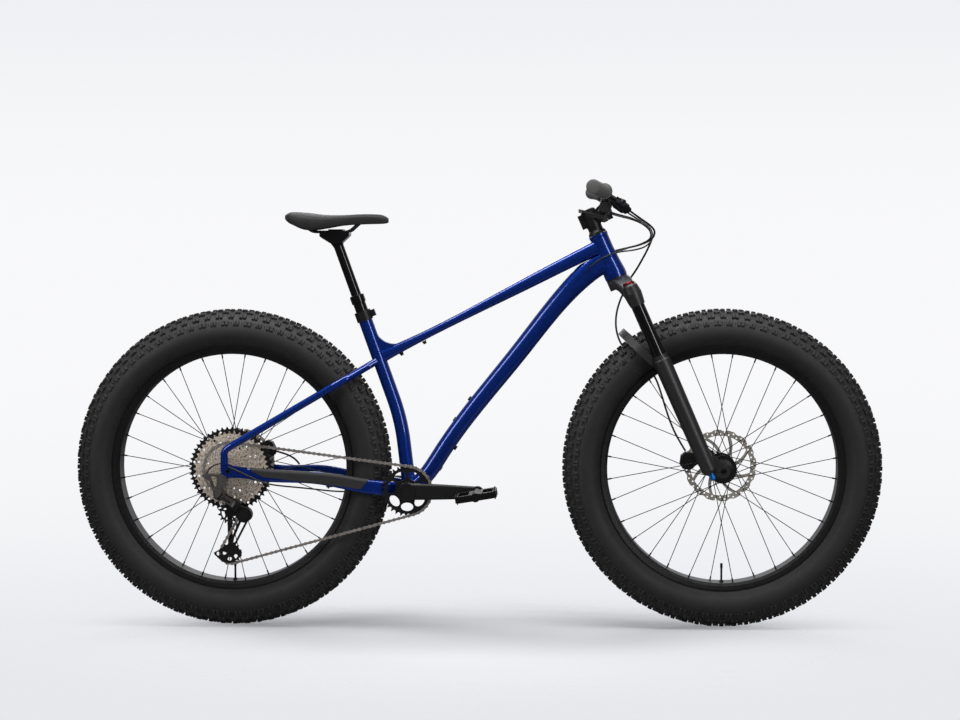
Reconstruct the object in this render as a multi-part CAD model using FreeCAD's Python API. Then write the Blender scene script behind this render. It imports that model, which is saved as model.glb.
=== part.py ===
import FreeCAD, Part
import math
import os

Vec = FreeCAD.Vector
ORIGIN = Vec(0, 0, 0)
ALONG = Vec(1, 0, 0)
ACROSS = Vec(0, 1, 0)
UP = Vec(0, 0, 1)

# Driving dimensions in millimetres and degrees. The bike faces +X, its drive side is -Y,
# the ground is Z = 0 and the origin lies midway between the axles.

# Fits
weld_gap = 0.05
seat_gap = 0.3
running_gap = 0.06

# Wheels
wheelbase = 1216.0
tire_radius = 396.0
tread_depth = 6.0
tread_root = 3.0
tire_half_width = 56.5
tire_wall = 3.2
tread_pitches = 40
rim_inner_radius = 284.0
rim_bead_radius = 294.0
rim_flange_radius = 301.0
rim_half_width = 39.5
rim_wall = 3.0
spoke_count = 32
spoke_radius = 1.0
spoke_crossing = 3
spoke_rim_offset = 12.0
nipple_radius = 1.9
nipple_length = 13.0
flange_thickness = 3.0
front_hub_width = 150.0
front_axle_radius = 7.5
front_axle_bore = 4.75
front_flanges = (-38.0, 30.0)
front_flange_radius = 31.0
front_rotor_y = 58.0
rear_hub_width = 197.0
rear_axle_radius = 6.0
rear_axle_bore = 3.5
rear_flanges = (-42.0, 56.0)
rear_flange_radius = 31.0
rear_rotor_y = 80.0
hub_barrel_radius = 17.0
bearing_width = 7.0
bearing_radius = 14.0
end_cap_radius = 10.5
rotor_radius = 90.0
rotor_track = 15.0
rotor_thickness = 1.8
rotor_bore = 18.0
rotor_arms = 8

# Drivetrain
chain_pitch = 12.7
roller_radius = 3.85
roller_play = 0.12
inner_width = 2.1
link_plate = 0.7
plate_play = 0.05
pin_radius = 1.8
bushing_play = 0.15
plate_radius = 4.1
plate_waist = 2.7
cassette_teeth = (51, 45, 39, 33, 28, 24, 21, 18, 16, 14, 12, 10)
cog_thickness = 1.7
cog_step = 3.65
largest_cog_y = -54.0
cog_tip = 2.2
driven_cog = 3
freehub_radius = 14.0
ring_teeth = 30
ring_y = -76.5
ring_tip = 3.0
ring_thickness = 1.8
ring_window_count = 7
ring_rib = 5.0
pulley_teeth = 13
pulley_tip = 2.4
pulley_thickness = 2.0
pulley_bolt_radius = 2.5
bottom_bracket_x = -169.0
bottom_bracket_z = 345.0
shell_radius = 22.0
shell_width = 100.0
spindle_radius = 15.0
bracket_cup_width = 11.0
crank_length = 175.0
crank_inner_y = 84.0
crank_thickness = 17.0
crank_boss_radius = 22.0
crank_root_half = 20.5
crank_tip_half = 14.5
crank_eye_radius = 15.5
crank_offset = 13.0
pedal_axle_radius = 7.0
pedal_length = 100.0
pedal_width = 102.0
pedal_height = 16.0
cage_pivot_x = -571.0
cage_pivot_z = 286.0
guide_reach_x = -41.0
guide_reach_z = 0.0
tension_reach_x = -32.0
tension_reach_z = -101.0
cage_plate = 1.8

# Steering
head_tilt = 23.5
fork_offset = 51.0
crown_offset = 20.0
axle_drop = 539.0
head_tube_length = 115.0
head_top_radius = 23.0
head_low_radius = 28.0
head_wall = 2.4
upper_steerer_radius = 14.3
lower_steerer_radius = 19.9
bearing_height = 7.0
leg_spacing = 87.0
crown_low = -28.0
boss_top = -27.0
boss_low = -82.0
stanchion_radius = 16.0
lowers_top = -215.0
lowers_low = -530.0
leg_radius = 21.5
bushing_gap = 0.25
fork_travel = 100.0
stanchion_overlap = 130.0
stem_length = 33.0
stem_height = 157.0
bar_half_width = 387.0
bar_clamp_radius = 15.9
bar_radius = 11.1
grip_radius = 16.0
grip_length = 128.0
spacer_radius = 18.0

# Frame
seat_tilt = 19.6
seat_tube_top_x = -277.0
seat_tube_top_z = 762.0
seat_tube_radius = 17.2
seat_tube_bend_drop = 262.0
post_radius = 15.45
post_inner_radius = 12.5
post_insertion = 190.0
collar_height = 46.0
collar_radius = 18.0
post_rise = 212.0
tube_wall = 2.0
dropout_thickness = 10.0
dropout_radius = 17.0
stay_radius = 9.0
gusset_drop = 16.0
gusset_half = 11.0
boss_radius = 6.0
boss_bore = 2.5
boss_rise = 3.0
boss_depth = 14.0
boss_spacing = 64.0
bottle_boss_reach = 160.0
under_boss_reach = 39.0
port_radius = 5.0
clamp_height = 25.0
seat_bend_radius = 500.0
rail_rise = 21.0
rail_radius = 3.5
rail_spacing = 22.0
hose_radius = 2.5
housing_radius = 2.0

# Values worked out from the driving dimensions
rear_axle = Vec(-wheelbase / 2, 0, tire_radius)
front_axle = Vec(wheelbase / 2, 0, tire_radius)
bottom_bracket = Vec(bottom_bracket_x, 0, bottom_bracket_z)
tilt = math.radians(head_tilt)
steer_up = Vec(-math.sin(tilt), 0, math.cos(tilt))
steer_ahead = Vec(math.cos(tilt), 0, math.sin(tilt))
crown_race = front_axle + steer_up * axle_drop - steer_ahead * fork_offset
steering = FreeCAD.Placement(crown_race, FreeCAD.Rotation(ACROSS, -head_tilt))
seat_lean = math.radians(seat_tilt)
seat_up = Vec(-math.sin(seat_lean), 0, math.cos(seat_lean))
seat_top = Vec(seat_tube_top_x, 0, seat_tube_top_z)
seat_frame = FreeCAD.Placement(seat_top, FreeCAD.Rotation(ACROSS, -seat_tilt))
parts = {}


# Shape helpers

def cylinder(radius, start, end):
    run = end - start
    return Part.makeCylinder(radius, run.Length, start, run)


def sleeve(outer, inner, start, end):
    return cylinder(outer, start, end).cut(cylinder(inner, start, end))


def box(low, high):
    size = high - low
    return Part.makeBox(size.x, size.y, size.z, low)


def turned(profile, axis=UP):
    # Closed outline of (radius, height) pairs turned about an axis through the origin.
    points = [Vec(r, 0, h) if axis is UP else Vec(r, h, 0) for r, h in profile]
    face = Part.Face(Part.makePolygon(points + points[:1]))
    return face.revolve(ORIGIN, axis, 360)


def slab(outline, y_low, y_high):
    # Outline of (x, z) pairs drawn in the side view and given a thickness across the bike.
    points = [Vec(x, y_low, z) for x, z in outline]
    face = Part.Face(Part.makePolygon(points + points[:1]))
    return face.extrude(Vec(0, y_high - y_low, 0))


def placed(shape, placement):
    copy = shape.copy()
    copy.Placement = placement.multiply(copy.Placement)
    return copy


def moved(shape, offset):
    copy = shape.copy()
    copy.translate(offset)
    return copy


def spun(shape, angle, centre=ORIGIN, axis=ACROSS):
    copy = shape.copy()
    copy.rotate(centre, axis, angle)
    return copy


def mirrored(shape):
    return shape.mirror(ORIGIN, ACROSS)


def both_sides(shape):
    return [shape, mirrored(shape)]


def section(centre, along, half_width, half_height, corner):
    # Rounded section square to a tube; its width runs across the bike.
    side = ACROSS - along * along.dot(ACROSS) / along.dot(along)
    side.normalize()
    rise = along.cross(side)
    rise.normalize()
    if rise.z < 0:
        rise = rise * -1

    def at(u, v):
        return centre + side * u + rise * v

    bend = corner * (1 - math.sqrt(0.5))
    w, h, c = half_width, half_height, corner
    edges = []
    for su, sv in ((1, 1), (-1, 1), (-1, -1), (1, -1)):
        first = at(su * w, sv * (h - c))
        mid = at(su * (w - bend), sv * (h - bend))
        last = at(su * (w - c), sv * h)
        pair = (first, last) if su * sv > 0 else (last, first)
        edges.append((pair[0], mid, pair[1]))
    wires = []
    for index, (first, mid, last) in enumerate(edges):
        wires.append(Part.Arc(first, mid, last).toShape())
        wires.append(Part.makeLine(last, edges[(index + 1) % 4][0]))
    return Part.Wire(wires)


def lofted(stations, wall=0.0):
    # Stations are (centre, half width, half height); the sections follow the tube's run.
    centres = [station[0] for station in stations]
    wires = []
    for index, (centre, half_width, half_height) in enumerate(stations):
        before = centres[max(index - 1, 0)]
        after = centres[min(index + 1, len(centres) - 1)]
        half_width -= wall
        half_height -= wall
        corner = 0.85 * min(half_width, half_height)
        wires.append(section(centre, after - before, half_width, half_height, corner))
    return smooth_loft(wires)


def smooth_loft(wires):
    # A cubic skin; higher degrees swing wildly between unevenly spaced sections.
    return Part.makeLoft(wires, True, False, False, 3)


def tube(stations):
    return lofted(stations).cut(lofted(stations, tube_wall))


def rounded_path(points, radius=None):
    # Straight runs joined by tangent arcs; without a radius each arc is as large as its runs allow.
    edges = []
    start = points[0]
    radii = []
    for before, corner, after in zip(points, points[1:], points[2:]):
        back = before - corner
        ahead = after - corner
        turn = math.pi - back.getAngle(ahead)
        shorter = min(back.Length, ahead.Length)
        bend = radius or 0.45 * shorter / math.tan(turn / 2)
        reach = bend * math.tan(turn / 2)
        back.normalize()
        ahead.normalize()
        first = corner + back * reach
        last = corner + ahead * reach
        inward = back + ahead
        inward.normalize()
        mid = corner + inward * (bend / math.cos(turn / 2) - bend)
        edges.append(Part.makeLine(start, first))
        edges.append(Part.Arc(first, mid, last).toShape())
        radii.append(bend)
        start = last
    edges.append(Part.makeLine(start, points[-1]))
    return Part.Wire(edges), radii


def swept(points, radius, bend=None):
    path, radii = rounded_path(points, bend)
    ring = Part.Wire(Part.Circle(points[0], points[1] - points[0], radius).toShape())
    pipe = path.makePipeShell([ring], True, False)
    return pipe, path.Length, radii


def cord(name, points, radius):
    pipe, length, radii = swept(points, radius)
    share = pipe.Volume / (math.pi * radius ** 2 * length)
    print(name, "length", round(length), "volume share", round(share, 3), "least bend", round(min(radii), 1))
    return pipe


def pattern(shape, count, centre=ORIGIN, axis=ACROSS, start=0.0):
    return [spun(shape, start + 360.0 * k / count, centre, axis) for k in range(count)]


def keep(name, shapes):
    parts[name] = shapes if isinstance(shapes, list) else [shapes]


# Wheels

def tire_outline():
    outer_bead = (rim_bead_radius + seat_gap, rim_half_width - rim_wall - 1.5)
    inner_bead = (outer_bead[0], outer_bead[1] - 4.5)
    lip = (rim_flange_radius + 1.5, rim_half_width - rim_wall - seat_gap)
    crown = tire_radius - tread_depth
    waist = 0.5 * (crown + rim_flange_radius) - 10.0
    shoulder = (crown - 24.0, tire_half_width - 11.5)
    inner_lip = (lip[0] + 1.5, lip[1] - tire_wall)
    inner_shoulder = (shoulder[0] - 0.5 * tire_wall, shoulder[1] - 0.8 * tire_wall)

    def at(pair, side=1):
        return Vec(pair[0], side * pair[1], 0)

    def wall(side):
        bulge = Part.Arc(at(shoulder, side), Vec(waist, side * tire_half_width, 0), at(lip, side))
        inside = Part.Arc(at(inner_lip, side), Vec(waist, side * (tire_half_width - tire_wall), 0),
                          at(inner_shoulder, side))
        bead = [at(lip, side), at(outer_bead, side), at(inner_bead, side), at(inner_lip, side)]
        lines = [Part.makeLine(a, b) for a, b in zip(bead, bead[1:])]
        return [bulge.toShape()] + lines + [inside.toShape()]

    edges = wall(1) + wall(-1)
    edges.append(Part.Arc(at(shoulder), Vec(crown, 0, 0), at(shoulder, -1)).toShape())
    edges.append(Part.Arc(at(inner_shoulder), Vec(crown - tire_wall, 0, 0), at(inner_shoulder, -1)).toShape())
    return Part.Face(Part.Wire(Part.__sortEdges__(edges))), waist, crown


def tread_block(waist, seat, lean, length, width, height, at, twist):
    block = Part.makeBox(height + tread_root, width, length, Vec(-tread_root, -width / 2, -length / 2))
    block.rotate(ORIGIN, ALONG, twist)
    block.translate(Vec(seat, 0, 0))
    block.rotate(ORIGIN, UP, lean)
    block.translate(Vec(waist, 0, 0))
    block.rotate(ORIGIN, ACROSS, at * 360.0 / tread_pitches)
    return block


def tire():
    # One tread pitch is built with its blocks, then repeated round the wheel and closed into one shell.
    outline, waist, crown = tire_outline()
    step = 360.0 / tread_pitches
    pitch = outline.revolve(ORIGIN, ACROSS, step)
    rise = crown - waist
    blocks = []
    for side in (1, -1):
        blocks.append(tread_block(waist, rise - 0.2, side * 62, 30, 13, tread_depth - 1, 0.5, 0))
        blocks.append(tread_block(waist, rise - 0.2, side * 37, 17, 12, tread_depth - 0.4, 0.26, side * 8))
        blocks.append(tread_block(waist, rise, side * 9, 17, 12, tread_depth, 0.5 + 0.24 * side, side * 12))
    pitch = pitch.fuse(blocks)
    edge_angles = (0.0, round(step, 3))

    def is_cut(face):
        angles = {abs(round(math.degrees(math.atan2(-v.Z, v.X)), 3)) for v in face.Vertexes}
        return len(angles) == 1 and angles.pop() in edge_angles

    skin = [face for face in pitch.Faces if not is_cut(face)]
    faces = [spun(face, step * k) for k in range(tread_pitches) for face in skin]
    shell = Part.Shell(faces)
    shell.sewShape()
    return Part.Solid(shell)


def rim(rim_nipples):
    bed = rim_inner_radius + rim_wall
    w = rim_half_width
    half = [(rim_inner_radius, w - 13), (rim_inner_radius + 6, w - 2.5), (rim_flange_radius - 1, w),
            (rim_flange_radius, w - 1), (rim_flange_radius, w - rim_wall + 0.2),
            (rim_bead_radius, w - rim_wall - 1), (rim_bead_radius - 1.5, w - 6.5), (bed + 2.5, w - 10), (bed, 14)]
    profile = half + [(r, -h) for r, h in reversed(half)]
    ring = turned(profile, ACROSS)
    return ring.cut(rim_nipples)


def wheel_spokes(flanges, flange_radius):
    # Crossed spokes: a bent head through the flange, a straight wire and a nipple at the rim.
    per_flange = spoke_count // 2
    hole_step = 360.0 / per_flange
    spokes = []
    nipple_holes = []
    flange_holes = []
    for flange_index, flange_y in enumerate(flanges):
        side = 1 if flange_y > 0 else -1
        for pull in (1, -1):
            rim_angle = 90.0 + 360.0 / spoke_count * (0.5 + flange_index + 2 * (pull > 0))
            hub_angle = rim_angle + pull * (spoke_crossing - 0.35) * hole_step
            lay = flange_y + pull * (flange_thickness / 2 + spoke_radius + 0.2)
            far = flange_y - pull * (flange_thickness / 2 + 0.9)

            def polar(radius, angle, y):
                a = math.radians(angle)
                return Vec(radius * math.cos(a), y, radius * math.sin(a))

            elbow = polar(flange_radius, hub_angle, lay)
            head = polar(flange_radius, hub_angle, far)
            seat = polar(rim_inner_radius + rim_wall, rim_angle, side * spoke_rim_offset)
            run = seat - elbow
            run.normalize()
            wire = cylinder(spoke_radius, elbow, seat)
            bend = Part.makeSphere(spoke_radius, elbow)
            shank = cylinder(spoke_radius, elbow, head)
            button = cylinder(1.7 * spoke_radius, head, head - ACROSS * pull * 0.8)
            nipple = cylinder(nipple_radius, seat - run * nipple_length, seat)
            spoke = wire.fuse([bend, shank, button, nipple])
            hole = cylinder(nipple_radius + seat_gap, seat - run * nipple_length, seat + run * 8)
            # The drilled hole runs on as a groove where the wire crosses the flange's edge.
            drill = cylinder(spoke_radius + 0.2, head - ACROSS * pull * 2, elbow)
            groove = cylinder(spoke_radius + 0.2, elbow, elbow + run * flange_radius)
            drill = drill.fuse([groove, Part.makeSphere(spoke_radius + 0.2, elbow)])
            for k in range(per_flange // 2):
                turn = -2 * hole_step * k
                spokes.append(spun(spoke, turn))
                nipple_holes.append(spun(hole, turn))
                flange_holes.append(spun(drill, turn))
    return spokes, nipple_holes, flange_holes


def valve():
    stem_low = rim_inner_radius - 38.0
    seat = rim_inner_radius - weld_gap
    stem = cylinder(2.6, Vec(0, 0, -stem_low), Vec(0, 0, -seat))
    nut = cylinder(5.0, Vec(0, 0, -(seat - 4)), Vec(0, 0, -seat))
    cap = cylinder(3.2, Vec(0, 0, -stem_low + 8), Vec(0, 0, -stem_low - 4))
    return stem.fuse([nut, cap])


def hub(flanges, flange_radius, drills, axle_radius, rotor_y, barrel_end):
    # The shell turns on two bearings; the ends of the shell clear the end caps.
    low, high = flanges
    half = flange_thickness / 2
    left_end = rotor_y + 9.0
    seat = bearing_radius + weld_gap
    bore = axle_radius + 3.0
    rim_edge = flange_radius + 4.0
    root = flange_radius - 5.0
    outer = [(bearing_radius + 3, barrel_end), (bearing_radius + 3, low - 6), (root, low - half), (rim_edge, low - half),
             (rim_edge, low + half), (root, low + half), (hub_barrel_radius, low + 8), (hub_barrel_radius, high - 8),
             (root, high - half), (rim_edge, high - half), (rim_edge, high + half), (root, high + half),
             (rotor_bore - weld_gap, high + 6), (rotor_bore - weld_gap, left_end)]
    inner = [(seat, left_end), (seat, left_end - bearing_width), (bore, left_end - bearing_width),
             (bore, barrel_end + bearing_width), (seat, barrel_end + bearing_width), (seat, barrel_end)]
    shell = turned(outer + inner, ACROSS).cut(drills)
    bearings = []
    for y in (barrel_end, left_end - bearing_width):
        bearings.append(sleeve(bearing_radius, axle_radius + running_gap, Vec(0, y, 0), Vec(0, y + bearing_width, 0)))
    return [shell] + bearings


def rotor():
    half = rotor_thickness / 2
    disc = sleeve(rotor_radius, rotor_bore, Vec(0, -half, 0), Vec(0, half, 0))
    inside = rotor_radius - rotor_track
    hub_ring = rotor_bore + 9.0
    cuts = []
    sweep = math.radians(360.0 / rotor_arms)
    lag = math.radians(28.0)
    rib = 4.5

    def at(radius, angle):
        return Vec(radius * math.cos(angle), -1, radius * math.sin(angle))

    def window(radius):
        # The window's sides lag behind with radius, so that the arms left between lean back.
        share = (radius - hub_ring) / (inside - hub_ring)
        return lag * share + rib / radius, lag * share + sweep - rib / radius

    low_start, low_end = window(hub_ring)
    mid_radius = (hub_ring + inside) / 2
    mid_start, mid_end = window(mid_radius)
    high_start, high_end = window(inside)
    edges = [Part.Arc(at(hub_ring, low_start), at(hub_ring, (low_start + low_end) / 2), at(hub_ring, low_end)),
             Part.Arc(at(hub_ring, low_end), at(mid_radius, mid_end), at(inside, high_end)),
             Part.Arc(at(inside, high_end), at(inside, (high_start + high_end) / 2), at(inside, high_start)),
             Part.Arc(at(inside, high_start), at(mid_radius, mid_start), at(hub_ring, low_start))]
    gap = Part.Face(Part.Wire([edge.toShape() for edge in edges])).extrude(Vec(0, 2, 0))
    cuts += pattern(gap, rotor_arms)
    track_middle = rotor_radius - rotor_track / 2
    slot = cylinder(2.2, Vec(track_middle - 3, -2, 0), Vec(track_middle - 3, 2, 0))
    hole = cylinder(2.2, Vec(track_middle + 2.5, -2, 0), Vec(track_middle + 2.5, 2, 0))
    cuts += pattern(slot, 3 * rotor_arms)
    cuts += pattern(hole, 3 * rotor_arms, start=180.0 / (3 * rotor_arms))
    scallop = cylinder(14.0, Vec(rotor_radius + 11, -2, 0), Vec(rotor_radius + 11, 2, 0))
    cuts += pattern(scallop, 2 * rotor_arms, start=6.0)
    return disc.cut(cuts)


def wheel(name, centre, tire_solid, flanges, flange_radius, axle_radius, rotor_y, barrel_end):
    spokes, nipple_holes, flange_holes = wheel_spokes(flanges, flange_radius)
    shells = hub(flanges, flange_radius, flange_holes, axle_radius, rotor_y, barrel_end)
    disc = moved(rotor(), Vec(0, rotor_y, 0))
    groups = {"tire": [tire_solid], "rim": [rim(nipple_holes), valve()], "spokes": spokes, "hub": shells,
              "rotor": [disc]}
    for piece, solids in groups.items():
        keep(name + "_" + piece, [moved(solid, centre) for solid in solids])


def wheels():
    tire_solid = tire()
    front_end = front_flanges[0] - 16.0
    wheel("front", front_axle, tire_solid, front_flanges, front_flange_radius,
          front_axle_radius, front_rotor_y, front_end)
    wheel("rear", rear_axle, tire_solid, rear_flanges, rear_flange_radius,
          rear_axle_radius, rear_rotor_y, rear_flanges[0] - 10.0)


def thru_axle(centre, half_width, axle_radius, bore, caps):
    # A hollow axle with a round head outside the left dropout and end caps between dropouts and bearings.
    reach = half_width + dropout_thickness + 1.0
    rod = sleeve(axle_radius, bore, Vec(0, -reach, 0), Vec(0, reach, 0))
    head_inner = half_width + dropout_thickness + weld_gap
    head = sleeve(axle_radius + 4, bore, Vec(0, head_inner, 0), Vec(0, head_inner + 4, 0))
    solids = [rod.fuse(head)]
    for start, end in caps:
        solids.append(sleeve(end_cap_radius, axle_radius + weld_gap, Vec(0, start, 0), Vec(0, end, 0)))
    return [moved(solid, centre) for solid in solids]


# Drivetrain

def pitch_radius(teeth):
    return chain_pitch / (2 * math.sin(math.pi / teeth))


def cog_y(index):
    return largest_cog_y - index * cog_step


def swung(x, z, angle):
    a = math.radians(angle)
    return Vec(x * math.cos(a) - z * math.sin(a), 0, x * math.sin(a) + z * math.cos(a))


cage_pivot = Vec(cage_pivot_x, 0, cage_pivot_z)


def chain_wheels(swing):
    # Centre, teeth, turning sense seen from the drive side, and plane of each wheel the chain meets.
    plane = cog_y(driven_cog)
    guide = cage_pivot + swung(guide_reach_x, guide_reach_z, swing)
    tension = cage_pivot + swung(tension_reach_x, tension_reach_z, swing)
    return [(bottom_bracket, ring_teeth, 1, ring_y), (rear_axle, cassette_teeth[driven_cog], 1, plane),
            (guide, pulley_teeth, -1, plane), (tension, pulley_teeth, 1, plane)]


def chain_runs(swing):
    # Each run is the arc on a wheel followed by the straight span to the next wheel, counted in pitches.
    wheels_met = chain_wheels(swing)
    spans = []
    for here, there in zip(wheels_met, wheels_met[1:] + wheels_met[:1]):
        gap = there[0] - here[0]
        shift = there[2] * pitch_radius(there[1]) - here[2] * pitch_radius(here[1])
        length = math.sqrt(gap.x ** 2 + gap.z ** 2 - shift ** 2)
        spans.append((math.atan2(gap.z, gap.x) - math.atan2(shift, length), length))
    runs = []
    for index, (centre, teeth, sense, plane) in enumerate(wheels_met):
        heading_in = spans[index - 1][0]
        heading_out, length = spans[index]
        wrap = (sense * (heading_out - heading_in)) % (2 * math.pi)
        entry = math.atan2(-sense * math.cos(heading_in), sense * math.sin(heading_in))
        runs.append((centre, teeth, sense, plane, entry, wrap * teeth / (2 * math.pi), length / chain_pitch))
    return runs


def chain_pitches(swing):
    return sum(run[5] + run[6] for run in chain_runs(swing))


def settled_swing():
    # The cage swings until the chain is a whole, even number of links.
    goal = 2 * round(chain_pitches(0.0) / 2)
    low, high = -15.0, 15.0
    grows = chain_pitches(high) > chain_pitches(low)
    for _ in range(60):
        middle = (low + high) / 2
        if (chain_pitches(middle) < goal) == grows:
            low = middle
        else:
            high = middle
    return middle, goal


def on_wheel(run, pitches):
    centre, teeth, sense, plane, entry = run[:5]
    angle = entry + sense * pitches * 2 * math.pi / teeth
    radius = pitch_radius(teeth)
    return Vec(centre.x + radius * math.cos(angle), plane, centre.z + radius * math.sin(angle)), angle


def chain_rollers(runs, count):
    # Roller centres, and for each wheel the angle of one roller seated on it.
    rollers = []
    phases = []
    ends = []
    total = 0.0
    for run in runs:
        ends.append((total, total + run[5], total + run[5] + run[6]))
        total = ends[-1][2]
    for index, run in enumerate(runs):
        start, leave, arrive = ends[index]
        first = math.ceil(start - 1e-9)
        phases.append(on_wheel(run, first - start)[1])
        last = on_wheel(run, run[5])[0]
        following = runs[(index + 1) % len(runs)]
        landing = on_wheel(following, 0.0)[0]
        for k in range(first, min(math.ceil(arrive - 1e-9), count)):
            if k <= leave:
                rollers.append(on_wheel(run, k - start)[0])
            else:
                share = (k - leave) / (arrive - leave)
                ease = share * share * (3 - 2 * share)
                point = last + (landing - last) * share
                point.y = last.y + (landing.y - last.y) * ease
                rollers.append(point)
    return rollers, phases


def link_plate_pair(inner_face):
    # Two peanut-shaped plates over one pitch, with the given distance from the middle plane.
    pairs = []
    for side in (1, -1):
        low = Vec(0, side * inner_face, 0)
        high = Vec(0, side * (inner_face + link_plate), 0)
        step = Vec(chain_pitch, 0, 0)
        ends = [cylinder(plate_radius, low, high), cylinder(plate_radius, low + step, high + step)]
        y_low, y_high = sorted((low.y, high.y))
        waist = box(Vec(0, y_low, -plate_waist), Vec(chain_pitch, y_high, plate_waist))
        pairs.append(waist.fuse(ends).removeSplitter())
    return pairs


def chain(rollers):
    half = inner_width / 2
    step = Vec(chain_pitch, 0, 0)
    bushing_bore = pin_radius + bushing_play
    inner_end = Vec(0, half + link_plate, 0)
    inner_plates = link_plate_pair(half)
    rolls = [cylinder(roller_radius, Vec(0, -half, 0) + at, Vec(0, half, 0) + at) for at in (ORIGIN, step)]
    bores = [cylinder(bushing_bore, at - inner_end, at + inner_end) for at in (ORIGIN, step)]
    inner = rolls[0].fuse(rolls[1:] + inner_plates).cut(bores).removeSplitter()
    outer_face = half + link_plate + plate_play
    outer_end = Vec(0, outer_face + link_plate, 0)
    pins = [cylinder(pin_radius, at - outer_end, at + outer_end) for at in (ORIGIN, step)]
    outer = pins[0].fuse(pins[1:] + link_plate_pair(outer_face)).removeSplitter()
    links = []
    for k, roller in enumerate(rollers):
        ahead = rollers[(k + 1) % len(rollers)] - roller
        ahead.normalize()
        turn = FreeCAD.Rotation(ahead, ACROSS, ahead.cross(ACROSS), "XYZ")
        link = inner if k % 2 == 0 else outer
        links.append(placed(link, FreeCAD.Placement(roller, turn)))
    keep("chain", links)


def toothed_disc(teeth, tip, thickness, phase=0.0):
    # Rollers seat in round gaps on the pitch circle; straight flanks rise to a flat tip.
    radius = pitch_radius(teeth)
    seat = roller_radius + roller_play
    spread = math.radians(60)
    half_tip = 0.9 / (radius + tip)

    def at(r, angle):
        return Vec(r * math.cos(angle), -thickness / 2, r * math.sin(angle))

    def gap_point(angle, lean):
        out = Vec(math.cos(angle), 0, math.sin(angle))
        along = Vec(-math.sin(angle), 0, math.cos(angle))
        return at(radius, angle) - out * (seat * math.cos(lean)) + along * (seat * math.sin(lean))

    edges = []
    for k in range(teeth):
        angle = phase + 2 * math.pi * k / teeth
        crest = angle + math.pi / teeth
        following = angle + 2 * math.pi / teeth
        edges.append(Part.Arc(gap_point(angle, -spread), gap_point(angle, 0), gap_point(angle, spread)).toShape())
        corners = [gap_point(angle, spread), at(radius + tip, crest - half_tip), at(radius + tip, crest + half_tip),
                   gap_point(following, -spread)]
        edges += [Part.makeLine(a, b) for a, b in zip(corners, corners[1:])]
    return Part.Face(Part.Wire(edges)).extrude(Vec(0, thickness, 0))


def ring_windows(low, high, count, rib, depth):
    # Openings between straight ribs, for spiders and pulleys.
    half = math.pi / count

    def at(radius, angle):
        return Vec(radius * math.cos(angle), -depth, radius * math.sin(angle))

    low_half = half - rib / (2 * low)
    high_half = half - rib / (2 * high)
    edges = [Part.Arc(at(low, -low_half), at(low, 0), at(low, low_half)).toShape(),
             Part.makeLine(at(low, low_half), at(high, high_half)),
             Part.Arc(at(high, high_half), at(high, 0), at(high, -high_half)).toShape(),
             Part.makeLine(at(high, -high_half), at(low, -low_half))]
    window = Part.Face(Part.Wire(edges)).extrude(Vec(0, 2 * depth, 0))
    return pattern(window, count, start=90.0)


def cassette(phase):
    solids = []
    bore = freehub_radius + weld_gap
    half = cog_thickness / 2
    for index, teeth in enumerate(cassette_teeth):
        y = cog_y(index)
        cog = toothed_disc(teeth, cog_tip, cog_thickness, phase if index == driven_cog else 0.0)
        cuts = [cylinder(bore, Vec(0, -2, 0), Vec(0, 2, 0))]
        if teeth >= 28:
            outer = pitch_radius(teeth) - 16
            cuts += ring_windows(freehub_radius + 6, outer, 6, 9.0, 2.0)
            hole_at = pitch_radius(teeth) - 10
            hole = cylinder(3.0, Vec(hole_at, -2, 0), Vec(hole_at, 2, 0))
            cuts += pattern(hole, teeth // 3)
        solids.append(moved(cog.cut(cuts), Vec(0, y, 0)))
        if index:
            start = Vec(0, y + half + weld_gap, 0)
            end = Vec(0, y + cog_step - half - weld_gap, 0)
            solids.append(sleeve(freehub_radius + 4, bore, start, end))
    hub_end = rear_flanges[0] - 10.0 - seat_gap
    last_face = cog_y(len(cassette_teeth) - 1) - half
    outer_end = -rear_hub_width / 2 + 1.2 + seat_gap
    axle_bore = rear_axle_radius + running_gap
    body = sleeve(freehub_radius, axle_bore, Vec(0, hub_end, 0), Vec(0, outer_end, 0))
    lock_ring = sleeve(freehub_radius + 3, axle_bore, Vec(0, last_face - weld_gap, 0), Vec(0, outer_end, 0))
    solids.append(body.fuse(lock_ring))
    keep("cassette", [moved(solid, rear_axle) for solid in solids])


def chainring(phase):
    disc = toothed_disc(ring_teeth, ring_tip, ring_thickness, phase)
    carrier = spindle_radius + 9.0
    middle = (carrier + pitch_radius(ring_teeth) - 6) / 2
    tangent = math.pi * middle / ring_window_count - ring_rib / 2
    radial = (pitch_radius(ring_teeth) - carrier) / 2 - ring_rib - 3
    oval = Part.Ellipse(Vec(middle, -3, tangent), Vec(middle + radial, -3, 0), Vec(middle, -3, 0))
    window = Part.Face(Part.Wire(oval.toShape())).extrude(ACROSS * 6)
    cuts = pattern(window, ring_window_count, start=90.0)
    boss = cylinder(carrier, Vec(0, ring_thickness / 2, 0), Vec(0, -(crank_inner_y + ring_y) + seat_gap, 0))
    ring = disc.cut(cuts).fuse(boss)
    bore = cylinder(spindle_radius + weld_gap, Vec(0, -20, 0), Vec(0, 20, 0))
    keep("chainring", moved(ring.cut(bore), bottom_bracket + ACROSS * ring_y))


pedal_gap = 5.0


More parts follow.
